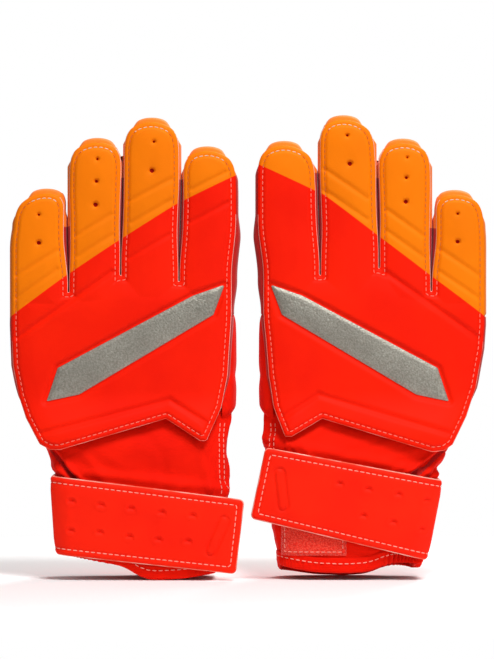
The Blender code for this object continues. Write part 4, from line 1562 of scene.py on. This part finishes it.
def build_thumb(side):
    """The thumb, folded behind the palm: its back pad faces away, its latex faces the palm."""
    field = partial(thumb_outline, grow=-0.3)
    a, b, quads, loops = cut_sheet(field, *THUMB_BOX, 0.9)
    top = thumb_top(a, b)
    for at in (30.0, 44.0):
        top -= bell(b - at - 0.22 * a, 1.5) * smooth(THUMB_HALF - np.abs(a), 3.0, 6.0)
    edge = np.maximum(-thumb_outline(a, b), 0.0)
    latex = np.maximum(9.0 * np.exp(-edge / 3.2) - 1.0, -0.6)
    border = thumb_border(a, b)
    parts = [
        Part(thumb_place(a, top, b), [q[::-1] for q in quads], "latex", border),
        Part(thumb_place(a, latex, b), quads, "palm"),
    ]
    for loop in loops:
        la, lb = a[loop], b[loop]
        ga, gb = gradient(field, la, lb)
        high = top[loop]
        reach = 1.3 + 2.0 * smooth(lb, 56.0, 64.0)
        rows = np.linspace(0.0, 1.0, 12)
        steps = [(0.5 + reach * math.sin(math.pi * t), high - 1.7 - t * (high - 9.7)) for t in rows]
        steps.append((0.0, latex[loop]))
        rings = [thumb_place(la + ga * out, d, lb + gb * out) for out, d in steps]
        parts.append(band(rings, "gusset", border=np.tile(border[loop], len(steps))))
        rings = [thumb_place(la + ga * out, high - drop, lb + gb * out) for out, drop in THUMB_FOAM]
        parts.append(band(rings, "foam"))
    for pa, pb in level_paths(thumb_outline, STITCH_IN, *THUMB_BOX):
        start = int(np.argmax(pb <= 2.0))
        pa, pb = np.roll(pa[:-1], -start), np.roll(pb[:-1], -start)
        pa, pb = pa[pb > 2.0], pb[pb > 2.0]
        points = thumb_place(pa, thumb_top(pa, pb), pb)
        run = stitch_run(points, FORWARD, 2.3, 1.0, 0.62, "stitch", thumb_border(pa, pb), 0.3)
        parts.append(run)
    add_piece(side, "thumb_skin", parts, ("thumb_roll", "thumb_pad"), ("thumb",))


def build_web(side):
    """The fabric that carries the thumb: from the hand's thumb side, round and on to the thumb's base."""
    rows, columns = 70, 40
    path = np.array(WEB_PATH)
    lengths = path_lengths(path)
    turn = np.linspace(0.0, 1.0, columns)
    u, y = (np.interp(turn * lengths[-1], lengths, column) for column in path.T)
    for _ in range(6):
        for line in (u, y):
            line[1:-1] = 0.5 * line[1:-1] + 0.25 * (line[:-2] + line[2:])
    du, dy = np.gradient(u), np.gradient(y)
    size = np.hypot(du, dy)
    low = 88.0 + 16.0 * turn
    high = 168.0 - 40.0 * smooth(turn, 0.05, 0.95)
    points = []
    for share in np.linspace(0.0, 1.0, rows):
        z = low + (high - low) * share
        bulge = 1.1 * math.sin(math.pi * share) ** 0.6 - 0.8 * bell(share - 0.42, 0.08)
        inward = 6.0 * (1.0 - smooth(share, 0.0, 0.14) * smooth(1.0 - share, 0.0, 0.16))
        folds = 0.35 * wave(z, 30.0 * turn, 51, 19.0) * np.sin(math.pi * turn)
        out = bulge - inward + folds
        points.append(xyz(u + dy / size * out, y - du / size * out, z))
    part = Part(np.concatenate(points), loft_faces(rows, columns, flip=True), "fabric")
    web = add_piece(side, "thumb_web", [part], (), ("hand", "thumb"), WEB_SPAN)


CLOTH = {hand: settle_fabric(hand) for hand in SIDES}
for hand in SIDES:
    build_hand(hand)
    build_wrist(hand)
    build_strap(hand)
    build_loop_patch(hand)
    build_emblem(hand)
    build_thumb(hand)
    build_web(hand)

# ------------------------------------------------------------------ stage

# Each lamp's place, size and power, in metres and watts.
LAMPS = {
    "key": ((0.32, -0.75, 1.35), 0.5, 19.0),
    "fill": ((1.0, -1.3, 0.5), 1.0, 3.5),
    "rear": ((0.5, 1.0, 1.2), 0.6, 17.0),
}


def make_stage():
    """A small pale floor that fades out into a white studio, lit softly from above."""
    n = Nodes("floor")
    bpy.ops.mesh.primitive_circle_add(vertices=96, radius=0.42, fill_type="NGON", location=(0.0, 0.0, 0.0))
    floor = bpy.context.object
    floor.name = "floor"
    floor.data.materials.append(n.finish("F6F6F6", 0.9, specular=0.0))
    far = n.add("ShaderNodeVectorMath", {0: n.coord}, operation="LENGTH").outputs["Value"]
    values = {"From Min": 0.22, "From Max": 0.41, "To Min": 1.0, "To Max": 0.0, "Value": far}
    fade = n.add("ShaderNodeMapRange", values, interpolation_type="SMOOTHSTEP")
    n.feed(n.shader.inputs["Alpha"], fade.outputs["Result"])
    world = bpy.data.worlds.new("studio")
    world.use_nodes = True
    tree = world.node_tree
    seen = tree.nodes.new("ShaderNodeLightPath")
    strength = tree.nodes.new("ShaderNodeMapRange")
    strength.inputs["To Min"].default_value = 0.34
    strength.inputs["To Max"].default_value = 1.0
    tree.links.new(seen.outputs["Is Camera Ray"], strength.inputs["Value"])
    tree.links.new(strength.outputs["Result"], tree.nodes["Background"].inputs["Strength"])
    tree.nodes["Background"].inputs["Color"].default_value = (1.0, 1.0, 1.0, 1.0)
    bpy.context.scene.world = world
    for name, (spot, size, power) in LAMPS.items():
        data = bpy.data.lights.new(name, "AREA")
        data.size = size
        data.energy = power
        light = bpy.data.objects.new(name, data)
        light.location = spot
        light.rotation_euler = (Vector((0.0, 0.0, 0.13)) - Vector(spot)).to_track_quat("-Z", "Y").to_euler()
        bpy.context.collection.objects.link(light)
    bpy.context.scene.view_settings.view_transform = "Standard"


make_stage()
